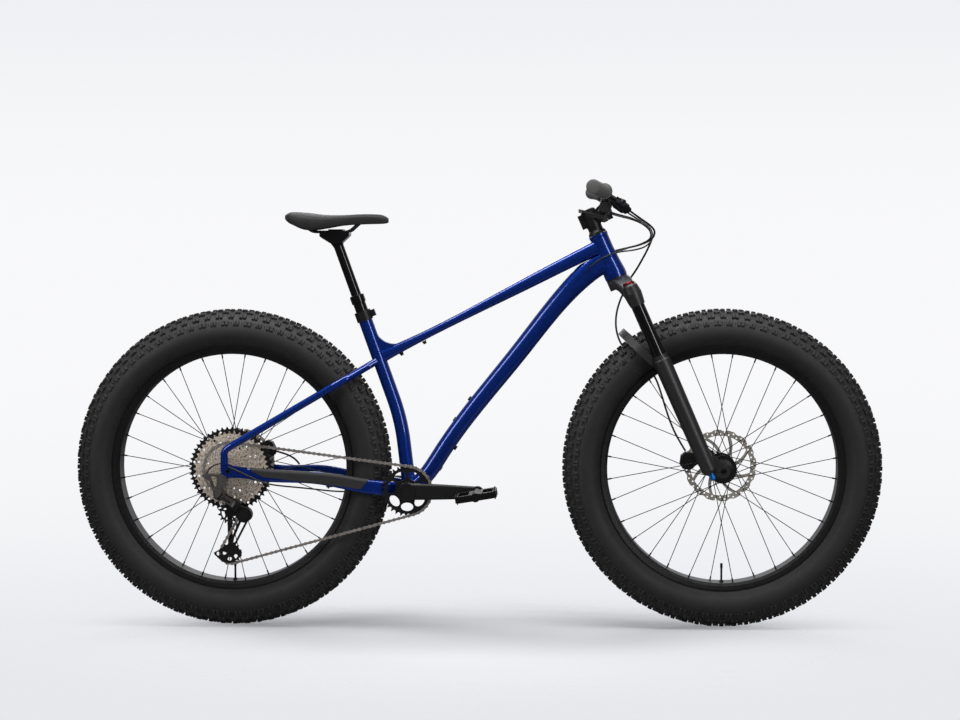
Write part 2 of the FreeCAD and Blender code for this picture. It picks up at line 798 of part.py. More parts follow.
def crank_arm():
    # Drive-side arm from the spindle to the pedal eye, pointing forward.
    base_y = -(crank_inner_y + crank_thickness / 2)
    eye_y = base_y - crank_offset
    half = crank_thickness / 2
    taper = crank_root_half - crank_tip_half
    stations = [(Vec(0, base_y, 0), half - 0.5, crank_root_half),
                (Vec(0.4 * crank_length, base_y - 0.35 * crank_offset, 0), half - 1, crank_root_half - 0.2 * taper),
                (Vec(0.75 * crank_length, base_y - 0.8 * crank_offset, 0), half - 1.5, crank_root_half - 0.6 * taper),
                (Vec(crank_length, eye_y, 0), half - 2, crank_tip_half)]
    boss = cylinder(crank_boss_radius, Vec(0, base_y + half, 0), Vec(0, base_y - half - 2, 0))
    recess = cylinder(crank_boss_radius - 6, Vec(0, base_y - half, 0), Vec(0, base_y - half - 4, 0))
    eye_start = Vec(crank_length, eye_y + half - 2, 0)
    eye = cylinder(crank_eye_radius, eye_start, Vec(crank_length, eye_y - half + 2, 0))
    arm = lofted(stations).fuse([boss, eye]).cut(recess)
    axle_seat = Vec(crank_length, eye_y - half + 2, 0)
    return arm, axle_seat


def cranks():
    arm, axle_seat = crank_arm()
    inner = Vec(0, -crank_inner_y, 0)
    spindle_end = Vec(0, crank_inner_y + crank_thickness, 0)
    spindle = sleeve(spindle_radius, spindle_radius - 3, inner, spindle_end)
    axle = cylinder(pedal_axle_radius, axle_seat, axle_seat - ACROSS * (pedal_gap + pedal_width - 4))
    socket = cylinder(spindle_radius + weld_gap, inner + ACROSS, -spindle_end - ACROSS * 10)
    left = spun(mirrored(arm.cut(socket)), 180.0)
    left_axle = spun(mirrored(axle), 180.0)
    keep("right_crank", [moved(s, bottom_bracket) for s in (arm.fuse(spindle), axle)])
    keep("left_crank", [moved(s, bottom_bracket) for s in (left, left_axle)])


def pedal():
    # A studded platform on a barrel; the openings leave two cross rails and two side rails.
    inner = -pedal_gap
    outer = inner - pedal_width
    half_x = pedal_length / 2
    half_z = pedal_height / 2
    plan = [(-half_x, inner - 14), (-half_x + 8, inner), (half_x - 8, inner), (half_x, inner - 14),
            (half_x, outer + 12), (half_x - 10, outer), (-half_x + 10, outer), (-half_x, outer + 12)]
    points = [Vec(x, y, -half_z) for x, y in plan]
    plate = Part.Face(Part.makePolygon(points + points[:1])).extrude(UP * pedal_height)
    barrel = cylinder(pedal_axle_radius + 4, Vec(0, inner, 0), Vec(0, outer, 0))
    cuts = []
    for side in (1, -1):
        x_low, x_high = sorted((side * 17, side * (half_x - 8)))
        cuts.append(box(Vec(x_low, outer + 14, -half_z), Vec(x_high, inner - 16, half_z)))
        groove_low, groove_high = sorted((side * (half_x - 8), side * half_x))
        cuts.append(box(Vec(groove_low, outer + 20, -3), Vec(groove_high, inner - 22, 3)))
    body = plate.cut(cuts).fuse(barrel)
    bore = cylinder(pedal_axle_radius + running_gap, Vec(0, inner + 1, 0), Vec(0, outer + 3, 0))
    studs = []
    for x in (-half_x + 4, half_x - 4):
        for y in (inner - 20, (inner + outer) / 2, outer + 18):
            studs.append(cylinder(1.6, Vec(x, y, -half_z - 4), Vec(x, y, half_z + 4)))
    return body.cut(bore).fuse(studs)


pedal_pitch = 9.0


def pedals():
    axle_seat = crank_arm()[1]
    right = spun(pedal(), -pedal_pitch)
    left = spun(mirrored(pedal()), -pedal_pitch)
    keep("right_pedal", moved(right, bottom_bracket + axle_seat))
    left_seat = Vec(-axle_seat.x, -axle_seat.y, axle_seat.z)
    keep("left_pedal", moved(left, bottom_bracket + left_seat))


# Rear derailleur

hanger_bolt = Vec(-623.0, 0, 373.0)
link_root = Vec(-627.0, 0, 333.0)
link_tip = Vec(-595.0, 0, 313.0)
link_run = link_tip - link_root
link_length = link_run.Length
link_along = link_run * (1 / link_length)
link_axis = link_along.cross(ACROSS)
link_place = FreeCAD.Placement(link_root, FreeCAD.Rotation(link_along, ACROSS, link_axis, "XYZ"))
outer_link_y = -98.0
inner_link_y = -80.0
link_half_height = 8.0
lug_height = 3.5
link_end_radius = 5.0
link_pin_radius = 2.0
link_half_thickness = 2.5
cable_entry = Vec(-656, -115, 399)
cable_entry_run = Vec(0.59, 0, 0.807)
cable_entry_radius = 4.0


def link(y):
    half = link_half_thickness
    bar = box(Vec(0, y - half, -link_half_height), Vec(link_length, y + half, link_half_height))
    ends = []
    bores = []
    for x in (0, link_length):
        low = Vec(x, y, -link_half_height)
        high = Vec(x, y, link_half_height)
        ends.append(cylinder(link_end_radius - 0.5, low, high))
        bores.append(cylinder(link_pin_radius + running_gap, low - UP, high + UP))
    window = box(Vec(9, y - 4, -4), Vec(link_length - 9, y + 4, 4))
    return placed(bar.fuse(ends).cut(bores + [window]), link_place)


def link_lugs(x, side, low_y):
    # Two lugs above and below both links, a web behind them and the pivot pins.
    high_y = inner_link_y + 6
    start = link_half_height + seat_gap
    x_low, x_high = sorted((x + side * 14, x - side * 5))
    web_low, web_high = sorted((x + side * 14, x + side * 7))
    solids = [box(Vec(web_low, low_y, -start - lug_height), Vec(web_high, high_y, start + lug_height))]
    for z in (start, -start - lug_height):
        solids.append(box(Vec(x_low, low_y, z), Vec(x_high, high_y, z + lug_height)))
    for y in (outer_link_y, inner_link_y):
        solids.append(cylinder(link_pin_radius, Vec(x, y, -start - 1), Vec(x, y, start + 1)))
    return solids


def derailleur():
    plane = cog_y(driven_cog)
    knuckle_inner = -rear_hub_width / 2 - dropout_thickness - seat_gap
    outline = [(-611, 382), (-622, 388), (-645, 390), (-660, 391), (-670, 388), (-666, 380), (-652, 372),
               (-645, 352), (-642, 338), (-634, 330), (-627, 336), (-618, 352), (-610, 364)]
    opening = [(-650, 384.5), (-635, 383.5), (-633, 370), (-637, 356), (-640, 356), (-646, 373)]
    plate = slab(outline, knuckle_inner - 12, knuckle_inner).cut(slab(opening, knuckle_inner - 13, knuckle_inner + 1))
    lugs = [placed(solid, link_place) for solid in link_lugs(0.0, -1, knuckle_inner - 4)]
    entry = cylinder(cable_entry_radius, cable_entry - cable_entry_run * 14, cable_entry)
    stub = cylinder(4.0, hanger_bolt + ACROSS * (knuckle_inner - 6),
                    hanger_bolt + ACROSS * (knuckle_inner + dropout_thickness - 2))
    keep("derailleur_knuckle", plate.fuse(lugs + [stub, entry]).removeSplitter())
    keep("outer_link", link(outer_link_y))
    keep("inner_link", link(inner_link_y))
    outer_face = plane - inner_width / 2 - 2 * link_plate - plate_play - 0.7
    inner_face = plane + inner_width / 2 + 2 * link_plate + plate_play + 0.7
    clutch_inner = outer_face - cage_plate - seat_gap
    clutch_outer = clutch_inner - 25.0
    lugs = [placed(solid, link_place) for solid in link_lugs(link_length, 1, outer_link_y - 6)]
    arm = box(Vec(link_length + 8, clutch_outer, -15), Vec(link_length + 32, inner_link_y + 6, 4))
    drum = cylinder(19.0, cage_pivot + ACROSS * clutch_outer, cage_pivot + ACROSS * clutch_inner)
    cap = cylinder(13.0, cage_pivot + ACROSS * clutch_outer, cage_pivot + ACROSS * (clutch_outer - 3))
    pivot_bore = cylinder(8.0 + running_gap, cage_pivot + ACROSS * (clutch_inner + 1),
                          cage_pivot + ACROSS * (clutch_inner - 6))
    clutch = drum.fuse([placed(arm, link_place), cap] + lugs).cut(pivot_bore).removeSplitter()
    keep("derailleur_clutch_body", clutch)
    return outer_face, inner_face, clutch_inner


def cage(swing, outer_face, inner_face, clutch_inner):
    guide = cage_pivot + Vec(guide_reach_x, 0, guide_reach_z)
    tension = cage_pivot + Vec(tension_reach_x, 0, tension_reach_z)

    def strut(start, end, half, y_low, y_high):
        run = end - start
        side = Vec(-run.z, 0, run.x)
        side.normalize()
        corners = [start + side * half, end + side * half, end - side * half, start - side * half]
        return slab([(p.x, p.z) for p in corners], y_low, y_high)

    def disc(centre, radius, y_low, y_high):
        return cylinder(radius, Vec(centre.x, y_low, centre.z), Vec(centre.x, y_high, centre.z))

    low, high = outer_face - cage_plate, outer_face
    boat = [(-41, -1), (-25, 9), (-8, 22), (0, 27), (10, 24), (29, 6), (28, -6), (11, -21), (-5, -25), (-22, -20),
            (-39, -6)]
    shell = slab([(tension.x + x, tension.z + z) for x, z in boat], low, high)
    cuts = []
    for x, z, radius in ((-29, -3, 5), (-15, 1, 5.5), (-1, -13, 5.5), (14, -7, 5.5)):
        cuts.append(disc(tension + Vec(x, 0, z), radius, low - 1, high + 1))
    shell = shell.cut(cuts)
    pivot_low = clutch_inner - 5.0
    joined = [disc(cage_pivot, 17, low, high), disc(cage_pivot, 8, pivot_low, low),
              strut(cage_pivot + Vec(-9, 0, -10), tension + Vec(-2, 0, 22), 3.2, low, high),
              strut(cage_pivot + Vec(9, 0, -8), tension + Vec(9, 0, 20), 2.6, low, high),
              strut(cage_pivot, guide, 8, low, high), disc(guide, 11, low, high)]
    bolts = [disc(centre, pulley_bolt_radius, low, inner_face + 1.5) for centre in (guide, tension)]
    outer_plate = shell.fuse(joined + bolts)
    inner_bar = strut(guide, tension, 6, inner_face, inner_face + 1.5)
    inner_ends = [disc(centre, 11, inner_face, inner_face + 1.5) for centre in (guide, tension)]
    whole = outer_plate.fuse([inner_bar] + inner_ends).removeSplitter()
    keep("derailleur_cage", spun(whole, -swing, cage_pivot))


def pulleys(swing, phases, outer_face, inner_face):
    met = chain_wheels(swing)
    middle = (outer_face + inner_face) / 2
    for name, wheel_met, phase in (("guide_pulley", met[2], phases[2]), ("tension_pulley", met[3], phases[3])):
        disc = toothed_disc(pulley_teeth, pulley_tip, pulley_thickness, phase)
        cuts = ring_windows(8.0, pitch_radius(pulley_teeth) - 7.5, 5, 4.5, 3.0)
        half = (inner_face - outer_face) / 2 - seat_gap
        boss = cylinder(6.0, Vec(0, -half, 0), Vec(0, half, 0))
        bore = cylinder(pulley_bolt_radius + running_gap, Vec(0, -half - 1, 0), Vec(0, half + 1, 0))
        solid = disc.cut(cuts).fuse(boss).cut(bore)
        keep(name, moved(solid, Vec(wheel_met[0].x, middle, wheel_met[0].z)))


def drivetrain():
    swing, count = settled_swing()
    runs = chain_runs(swing)
    rollers, phases = chain_rollers(runs, count)
    print("chain links", count, "rollers", len(rollers), "cage swing", round(swing, 2))
    chain(rollers)
    chainring(phases[0])
    cassette(phases[1])
    cranks()
    pedals()
    outer_face, inner_face, clutch_inner = derailleur()
    cage(swing, outer_face, inner_face, clutch_inner)
    pulleys(swing, phases, outer_face, inner_face)


# Frame

def head_tube():
    top = head_tube_length
    low_seat = head_low_radius - head_wall
    top_seat = head_top_radius - head_wall
    outer = [(head_low_radius, 0), (head_low_radius, 12), (head_low_radius - 3, 40), (head_top_radius, 75),
             (head_top_radius, top - 9), (head_top_radius + 1, top - 6), (head_top_radius + 1, top)]
    inner = [(top_seat, top), (top_seat, top - bearing_height), (top_seat - 2, top - bearing_height),
             (top_seat - 2, 75), (low_seat - 2, 30), (low_seat - 2, bearing_height), (low_seat, bearing_height),
             (low_seat, 0)]
    keep("head_tube", placed(turned(outer + inner), steering))


def head_plug(extra):
    # Outside of the head tube, filled, for trimming the tubes that are welded to it.
    outer = [(0, 0), (head_low_radius + extra, 0), (head_low_radius + extra, 12), (head_low_radius - 3 + extra, 40),
             (head_top_radius + extra, 75), (head_top_radius + extra, head_tube_length), (0, head_tube_length)]
    return placed(turned(outer), steering)


def bearings():
    # Headset bearings in the head tube and the cups that carry the crank spindle.
    top = head_tube_length
    upper = sleeve(head_top_radius - head_wall - weld_gap, upper_steerer_radius + running_gap,
                   Vec(0, 0, top - bearing_height), Vec(0, 0, top))
    lower = sleeve(head_low_radius - head_wall - weld_gap, lower_steerer_radius + running_gap, ORIGIN,
                   Vec(0, 0, bearing_height))
    half = shell_width / 2
    cup = sleeve(shell_radius - 1, spindle_radius + running_gap, Vec(0, -half - weld_gap, 0),
                 Vec(0, -half - bracket_cup_width, 0))
    nose = sleeve(shell_radius - 4 - weld_gap, spindle_radius + running_gap, Vec(0, -half + 12, 0),
                  Vec(0, -half - 1, 0))
    cups = [moved(solid, bottom_bracket) for solid in both_sides(cup.fuse(nose).removeSplitter())]
    keep("frame_bearings", [placed(upper, steering), placed(lower, steering)] + cups)


seat_bend = seat_top - seat_up * seat_tube_bend_drop


def seat_tube_shape(radius):
    top = seat_top + seat_up * (clamp_height - 1)
    return swept([top, seat_bend, bottom_bracket], radius, seat_bend_radius)[0]


def shell_plug(extra):
    half = shell_width / 2 + 5
    return cylinder(shell_radius + extra, bottom_bracket - ACROSS * half, bottom_bracket + ACROSS * half)


# Centre, half width and half height of the two main tubes where their outlines change.
# Near the head tube they meet along a seam.
top_line = [((-258, 662), 14, 21), ((-232, 675), 14, 16), ((-195, 693), 14, 13), ((104, 844), 16, 14.5),
            ((235, 911), 18, 17), ((312, 948), 18, 20)]
down_line = [((-165, 345), 22, 19), ((-130, 373), 22, 20.5), ((-26, 521), 23, 21), ((138, 726), 24, 22.5),
             ((208, 813), 24, 24), ((250, 858), 23, 26), ((290, 893), 22, 28), ((326, 910), 20, 28)]


def main_tubes():
    def stations(line):
        return [(Vec(x, 0, z), width, height) for (x, z), width, height in line]

    head = head_plug(weld_gap)
    shell = shell_plug(weld_gap)
    seat = seat_tube_shape(seat_tube_radius + weld_gap)
    bore = seat_tube_shape(post_radius + weld_gap)
    seat_tube = seat_tube_shape(seat_tube_radius).cut([bore, shell])
    keep("seat_tube", seat_tube)
    seam = [(200, 873), (340, 942)]
    down = tube(stations(down_line)).cut([head, shell, seat, slab(seam + [(340, 1000), (200, 1000)], -60, 60)])
    port = cylinder(port_radius, port_mouth - port_run * 12, port_mouth)
    bosses = [bottle_boss(reach, side) for reach, side in boss_places()]
    down = down.fuse([port] + [boss[0] for boss in bosses]).cut([boss[1] for boss in bosses])
    keep("down_tube", max(down.Solids, key=lambda solid: solid.Volume))
    seam_low = [(x, z - weld_gap) for x, z in seam]
    skin = lofted(stations(top_line)).fuse(seat_gusset()).cut(lofted(stations(top_line), tube_wall))
    top = skin.cut([head, seat, slab(seam_low + [(340, 780), (180, 780)], -60, 60)])
    keep("top_tube", max(top.Solids, key=lambda solid: solid.Volume))
    half = shell_width / 2
    shell_tube = sleeve(shell_radius, shell_radius - 4, bottom_bracket - ACROSS * half, bottom_bracket + ACROSS * half)
    keep("bottom_bracket_shell", shell_tube)


port_mouth = Vec(279, -28, 893)
port_run = Vec(0.65, -0.45, 0.61)


def seat_gusset():
    # The top tube's upper edge sweeps up the front of the seat tube to the clamp.
    high = seat_frame.multVec(Vec(seat_tube_radius, 0, -gusset_drop))
    root = seat_frame.multVec(Vec(0, 0, -gusset_drop - 12))
    low = Vec(seat_tube_top_x + 76, 0, seat_tube_top_z - 57.5)
    inside = Vec(seat_tube_top_x + 45, 0, seat_tube_top_z - 92)
    corner = Vec(seat_tube_top_x + 45, 0, seat_tube_top_z - 73)
    middle = (high + low) * 0.275 + corner * 0.45
    edges = [Part.Arc(high, middle, low).toShape(), Part.makeLine(low, inside), Part.makeLine(inside, root),
             Part.makeLine(root, high)]
    face = Part.Face(Part.Wire(edges))
    face.translate(ACROSS * -gusset_half)
    return face.extrude(ACROSS * 2 * gusset_half)


def boss_places():
    # Distance up the down tube of each boss, and the face that it stands on.
    upper = [(bottle_boss_reach + boss_spacing, 1), (bottle_boss_reach, 1)]
    lower = [(under_boss_reach + boss_spacing, -1), (under_boss_reach, -1)]
    return upper + lower


def down_tube_point(reach):
    # Point on the down tube's middle line, so far up from its lower bend, and its half height there.
    left = reach
    for ((x0, z0), _, h0), ((x1, z1), _, h1) in zip(down_line[1:], down_line[2:]):
        run = Vec(x1 - x0, 0, z1 - z0)
        if left <= run.Length:
            break
        left -= run.Length
    share = left / run.Length
    return Vec(x0, 0, z0) + run * share, h0 + (h1 - h0) * share


def boss_axis(reach, side):
    # Foot of a boss on the middle line, its way out and the height where its rise starts.
    # A cage needs bosses that are parallel and end on one plane.
    places = boss_places()
    along = down_tube_point(max(places)[0])[0] - down_tube_point(min(places)[0])[0]
    along.normalize()
    out = Vec(-along.z, 0, along.x) * side
    pair = [down_tube_point(place) for place, face in places if face == side]
    plane = max(foot.dot(out) + half_height for foot, half_height in pair)
    foot = down_tube_point(reach)[0]
    return foot, out, plane - foot.dot(out)


def bottle_boss(reach, side):
    # A threaded boss on the upper or lower face of the down tube, and its hole.
    foot, out, half_height = boss_axis(reach, side)
    face = foot + out * (half_height + boss_rise)
    boss = cylinder(boss_radius, face - out * boss_depth, face)
    hole = cylinder(boss_bore, face + out, face - out * boss_depth)
    return boss, hole


def dropout():
    # Drive-side plate round the axle, with the strut and the tongue that meets the chainstay.
    inner = -rear_hub_width / 2
    outer = inner - dropout_thickness
    x, z = rear_axle.x, rear_axle.z
    plate = cylinder(dropout_radius, rear_axle + ACROSS * inner, rear_axle + ACROSS * outer)
    strut = slab([(x - 18, z), (x, z), (x, z + 40), (x - 18, z + 40)], outer, inner)
    tongue = slab([(x, z + 15), (x + 48, z + 8), (x + 48, z - 18), (x, z - 16)], outer, inner)
    holes = [cylinder(rear_axle_radius + weld_gap, rear_axle + ACROSS * (inner + 1), rear_axle + ACROSS * (outer - 1))]
    return plate.fuse([strut, tongue]), holes


tongue_end = rear_axle.x + 48.0


def chain_stay_stations(extra=0.0):
    # The stay leaves the dropout, passes outside the tire, then turns in behind the chainring.
    line = [((tongue_end - 4, -104.0, 391), 5.0, 13), ((-437, -86, 379), 8, 14), ((-335, -77, 367), 8, 16),
            ((-290, -73, 358), 8, 17), ((-256, -68, 353), 8, 18), ((-230, -60, 350), 8, 18),
            ((-198, -45, 347), 9, 17), ((-170, -35, 345), 9, 15)]
    return [(Vec(*centre), width + extra, height + extra) for centre, width, height in line]


def rear_stays():
    inner = -rear_hub_width / 2
    outer = inner - dropout_thickness
    line_y = inner - 7.5
    route = [Vec(-250, -10, 661), Vec(-272, -22, 648), Vec(-318, -68, 621), Vec(-352, -79, 601.5),
             Vec(-598, line_y, 458.5), Vec(rear_axle.x - 9, line_y, 447), Vec(rear_axle.x - 9, line_y, 412)]
    pipe = swept(route, stay_radius, 20.0)[0]
    plate, holes = dropout()
    seat = seat_tube_shape(seat_tube_radius + weld_gap)
    middle = box(Vec(-400, -weld_gap, 500), Vec(-200, 100, 800))
    stay = pipe.fuse(plate).cut(holes + [seat, middle])
    stay = max(stay.Solids, key=lambda solid: solid.Volume)
    hanger_outline = [(-612, 392), (-628, 390), (-633, 374), (-626, 362), (-614, 364), (-606, 382)]
    hanger = slab(hanger_outline, outer, inner - 2)
    bolt_hole = cylinder(4.0 + weld_gap, hanger_bolt + ACROSS * (inner + 1), hanger_bolt + ACROSS * (outer - 1))
    right = stay.fuse(hanger).cut([bolt_hole] + holes)
    keep("seat_stays", [right, mirrored(stay)])
    stations = chain_stay_stations()
    blank = lofted(stations)
    shell = shell_plug(weld_gap)
    tongue_room = box(Vec(tongue_end - 30, -140, 340), Vec(tongue_end + weld_gap, -60, 440))
    hollow = blank.cut([lofted(stations, tube_wall), shell, seat, tongue_room])
    right_stay = max(hollow.Solids, key=lambda solid: solid.Volume)
    keep("chain_stays", both_sides(right_stay))
    cover = lofted(chain_stay_stations(2.0)[:5]).cut(lofted(chain_stay_stations(weld_gap)))
    # The guard covers the upper part of the stay and runs out to a point behind the cassette.
    window = [(-557, 410), (-548, 395), (-520, 381), (-437, 370), (-335, 357), (-284, 349), (-264, 372), (-264, 400)]
    cover = cover.common(slab(window, -120, -40))
    keep("chainstay_guard", max(cover.Solids, key=lambda solid: solid.Volume))


def rear_wheel_axle():
    half = rear_hub_width / 2
    freehub_end = -half + 1.2
    bearing_end = rear_rotor_y + 9.0
    caps = [(-half + weld_gap, freehub_end), (bearing_end + seat_gap, half - weld_gap)]
    keep("rear_axle", thru_axle(rear_axle, half, rear_axle_radius, rear_axle_bore, caps))


def front_wheel_axle():
    half = front_hub_width / 2
    caps = [(-half + weld_gap, front_flanges[0] - 16.0 - seat_gap), (front_rotor_y + 9.0 + seat_gap, half - weld_gap)]
    keep("front_axle", thru_axle(front_axle, half, front_axle_radius, front_axle_bore, caps))


def caliper_blank():
    # Caliper over the rotor's edge, drawn at the end of the +X radius; the pads stand clear of the disc.
    middle = rotor_radius - rotor_track / 2
    low, high = middle - 17, middle + 19
    pad_gap = rotor_thickness / 2 + seat_gap
    slot = 4.0
    body = [(-21, low + 8), (-14, low), (14, low), (21, low + 8), (21, high - 9), (11, high), (-11, high), (-21, high - 9)]
    points = [Vec(r, -14, t) for t, r in body]
    block = Part.Face(Part.makePolygon(points + points[:1])).extrude(ACROSS * 28)
    ports = [cylinder(10.0, Vec(middle, side * 14, 0), Vec(middle, side * 17, 0)) for side in (1, -1)]
    gap = box(Vec(low - 1, -slot, -30), Vec(rotor_radius + 2, slot, 30))
    bridge = box(Vec(rotor_radius + 2, -3, -9), Vec(high + 1, 3, 9))
    body = block.fuse(ports).cut([gap, bridge])
    pads = []
    for side in (1, -1):
        y_low, y_high = sorted((side * pad_gap, side * (slot - weld_gap)))
        pads.append(box(Vec(middle - 8, y_low, -13), Vec(middle + 8, y_high, 13)))
    return body, pads


def rear_caliper():
    body, pads = caliper_blank()
    lift = -27.0
    solids = [spun(solid, lift) for solid in [body] + pads]
    solids = [moved(solid, rear_axle + ACROSS * rear_rotor_y) for solid in solids]
    foot = slab([(-551, 392), (-522, 390), (-522, 424), (-545, 432)], rear_rotor_y + 10, 104)
    foot = foot.cut(mirrored(lofted(chain_stay_stations(seat_gap))))
    solids[0] = solids[0].fuse(max(foot.Solids, key=lambda solid: solid.CenterOfMass.z))
    keep("rear_caliper", solids)


# Fork

def fork_crown():
    hub = cylinder(27.0, Vec(0, 0, crown_low), Vec(0, 0, -seat_gap))
    boss_profile = [(0, boss_top), (15, boss_top), (19, boss_top - 5), (22, boss_top - 24), (21, boss_top - 36),
                    (stanchion_radius + 2.6, boss_low), (0, boss_low)]
    boss = moved(turned(boss_profile), Vec(crown_offset, leg_spacing, 0))
    arm_line = [(0, -3.5, 26, 13), (26, -4, 25, 12.5), (46, -11, 22, 13), (66, -29, 19, 17), (leg_spacing, -48, 16, 19)]
    wires = []
    for y, middle, half_length, half_height in arm_line:
        shift = crown_offset * y / leg_spacing
        at = Vec(shift, y, middle - 12)
        wires.append(arm_section(at, half_length, half_height))
    arm = smooth_loft(wires)
    bore = cylinder(stanchion_radius + weld_gap, Vec(crown_offset, leg_spacing, boss_top - 2),
                    Vec(crown_offset, leg_spacing, boss_low - 1))
    half = arm.fuse(boss).cut(bore)
    tubes = turned([(lower_steerer_radius, crown_low), (lower_steerer_radius, 14), (upper_steerer_radius, 55),
                    (upper_steerer_radius, stem_height + 18), (upper_steerer_radius - 2.5, stem_height + 18),
                    (upper_steerer_radius - 2.5, 50), (lower_steerer_radius - 4, 10), (lower_steerer_radius - 4, crown_low)])
    core = cylinder(lower_steerer_radius - 4, Vec(0, 0, crown_low - 20), Vec(0, 0, 8))
    tire_room = Part.makeBox(200, 66, 80, Vec(-100, -33, crown_low - 80))
    crown = hub.fuse([half, mirrored(half)]).cut([core, tire_room]).fuse(tubes)
    keep("fork_crown", placed(crown, steering))


def arm_section(at, half_length, half_height):
    corner = 0.6 * min(half_length, half_height)
    bend = corner * (1 - math.sqrt(0.5))
    corners = []
    for sx, sz in ((1, 1), (-1, 1), (-1, -1), (1, -1)):
        first = Vec(sx * half_length, 0, sz * (half_height - corner))
        mid = Vec(sx * (half_length - bend), 0, sz * (half_height - bend))
        last = Vec(sx * (half_length - corner), 0, sz * half_height)
        pair = (first, mid, last) if sx * sz > 0 else (last, mid, first)
        corners.append([at + point for point in pair])
    edges = []
    for index, (first, mid, last) in enumerate(corners):
        edges.append(Part.Arc(first, mid, last).toShape())
        edges.append(Part.makeLine(last, corners[(index + 1) % 4][0]))
    return Part.Wire(edges)


def stanchions():
    low = lowers_top - stanchion_overlap
    leg = sleeve(stanchion_radius, stanchion_radius - 2.5, Vec(crown_offset, leg_spacing, low),
                 Vec(crown_offset, leg_spacing, boss_top - 3))
    keep("stanchions", [placed(solid, steering) for solid in both_sides(leg)])


def fork_lowers():
    # Two legs with forward dropouts, joined by an arch behind the crown line.
    bore_low = lowers_top - stanchion_overlap - fork_travel - 8
    bore = stanchion_radius + bushing_gap
    r = leg_radius
    profile = [(0, lowers_low), (r - 6, lowers_low), (r - 2, lowers_low + 8), (r - 1, lowers_low + 120),
               (r, lowers_top - 60), (r, lowers_top - 14), (r - 2, lowers_top - 10), (r - 2.5, lowers_top),
               (bore, lowers_top), (bore, bore_low), (0, bore_low)]
    leg = moved(turned(profile), Vec(crown_offset, leg_spacing, 0))
    half = front_hub_width / 2
    ax, az = fork_offset, -axle_drop
    lug = slab([(crown_offset - 12, lowers_low + 4), (crown_offset - 14, lowers_low + 46),
                (crown_offset + 12, lowers_low + 60), (ax + 8, az + 16), (ax + 14, az - 6), (ax - 10, az - 14)],
               half, half + dropout_thickness)
    eye = cylinder(16.0, Vec(ax, half, az), Vec(ax, half + dropout_thickness, az))
    hub_room = box(Vec(-60, 0, lowers_low - 60), Vec(120, half, lowers_low + 62))
    axle_hole = cylinder(front_axle_radius + weld_gap, Vec(ax, 0, az), Vec(ax, half + 30, az))
    knob_room = cylinder(10.0, Vec(crown_offset, leg_spacing, lowers_low - 40), Vec(crown_offset, leg_spacing, lowers_low))
    leg = leg.fuse([lug, eye]).cut([axle_hole, hub_room, knob_room])
    leg = max(leg.Solids, key=lambda solid: solid.Volume)
    apex = Vec(-41, 0, lowers_top + 82)
    root = Vec(crown_offset - 16, leg_spacing - 7, lowers_top - 20)
    other = Vec(root.x, -root.y, root.z)
    arch_path = Part.Wire(Part.Arc(root, apex, other).toShape())
    start = arch_path.Edges[0].tangentAt(arch_path.Edges[0].FirstParameter)
    rise = (apex - (root + other) * 0.5).cross(ACROSS)
    rise.normalize()
    side = start.cross(rise)
    half_w, half_t = 9.5, 6.0
    corners = [root + rise * (half_w * a) + side * (half_t * b) for a, b in ((1, 1), (-1, 1), (-1, -1), (1, -1))]
    arch = arch_path.makePipeShell([Part.makePolygon(corners + corners[:1])], True, False)
    clear = [cylinder(bore, Vec(crown_offset, side_y, bore_low), Vec(crown_offset, side_y, lowers_top + 20))
             for side_y in (leg_spacing, -leg_spacing)]
    lowers = leg.fuse([mirrored(leg), arch]).cut(clear)
    keep("fork_lowers", placed(max(lowers.Solids, key=lambda solid: solid.Volume), steering))


def front_caliper():
    body, pads = caliper_blank()
    centre = Vec(fork_offset, front_rotor_y, -axle_drop)
    solids = [moved(spun(solid, -148.0), centre) for solid in [body] + pads]
    foot = slab([(-28, lowers_low + 8), (crown_offset - 10, lowers_low + 18), (crown_offset - 10, lowers_low + 56),
                 (-28, lowers_low + 52)], front_rotor_y + 8, leg_spacing)
    leg_low = Vec(crown_offset, leg_spacing, lowers_low - 40)
    leg = cylinder(leg_radius - 1.3, leg_low, Vec(crown_offset, leg_spacing, -300))
    rotor_room = cylinder(rotor_radius + 3, centre - ACROSS * 5, centre + ACROSS * 5)
    lug_room = slab([(crown_offset - 13, lowers_low - 10), (crown_offset - 15, lowers_low + 47), (60, lowers_low + 62),
                     (60, lowers_low - 30)], front_hub_width / 2 - seat_gap, front_hub_width / 2 + 14)
    foot = foot.cut([leg, rotor_room, lug_room])
    foot = max(foot.Solids, key=lambda solid: solid.Volume)
    solids[0] = solids[0].fuse(foot)
    keep("front_caliper", [placed(solid, steering) for solid in solids])


def fork_knobs():
    right = Vec(crown_offset, -leg_spacing, 0)
    low = boss_top + seat_gap
    dial = turned([(0, low), (14.5, low), (14.5, low + 3.5), (12, low + 6), (0, low + 6)])
    notches = pattern(cylinder(1.5, Vec(15.2, 0, low - 1), Vec(15.2, 0, low + 12)), 18, axis=UP)
    keep("compression_knob", placed(moved(dial.cut(notches), right), steering))
    end = lowers_low - seat_gap
    knob = turned([(0, end), (7.5, end), (7.5, end - 14), (6, end - 18), (0, end - 18)])
    grooves = pattern(cylinder(1.0, Vec(7.8, 0, end - 20), Vec(7.8, 0, end - 4)), 12, axis=UP)
    keep("rebound_knob", placed(moved(knob.cut(grooves), right), steering))


# Cockpit

stem_low = stem_height - 20.0
stem_top = stem_height + 20.0
bar_centre = steering.multVec(Vec(stem_length, 0, stem_height))
bar_knee = Vec(0, -40, 0)
bar_shoulder = Vec(6, -110, 40)
bar_elbow = Vec(2, -255, 49)
bar_tip = Vec(-27, -bar_half_width, 58)
bar_bend = 60.0


def other_side(point):
    return Vec(point.x, -point.y, point.z)


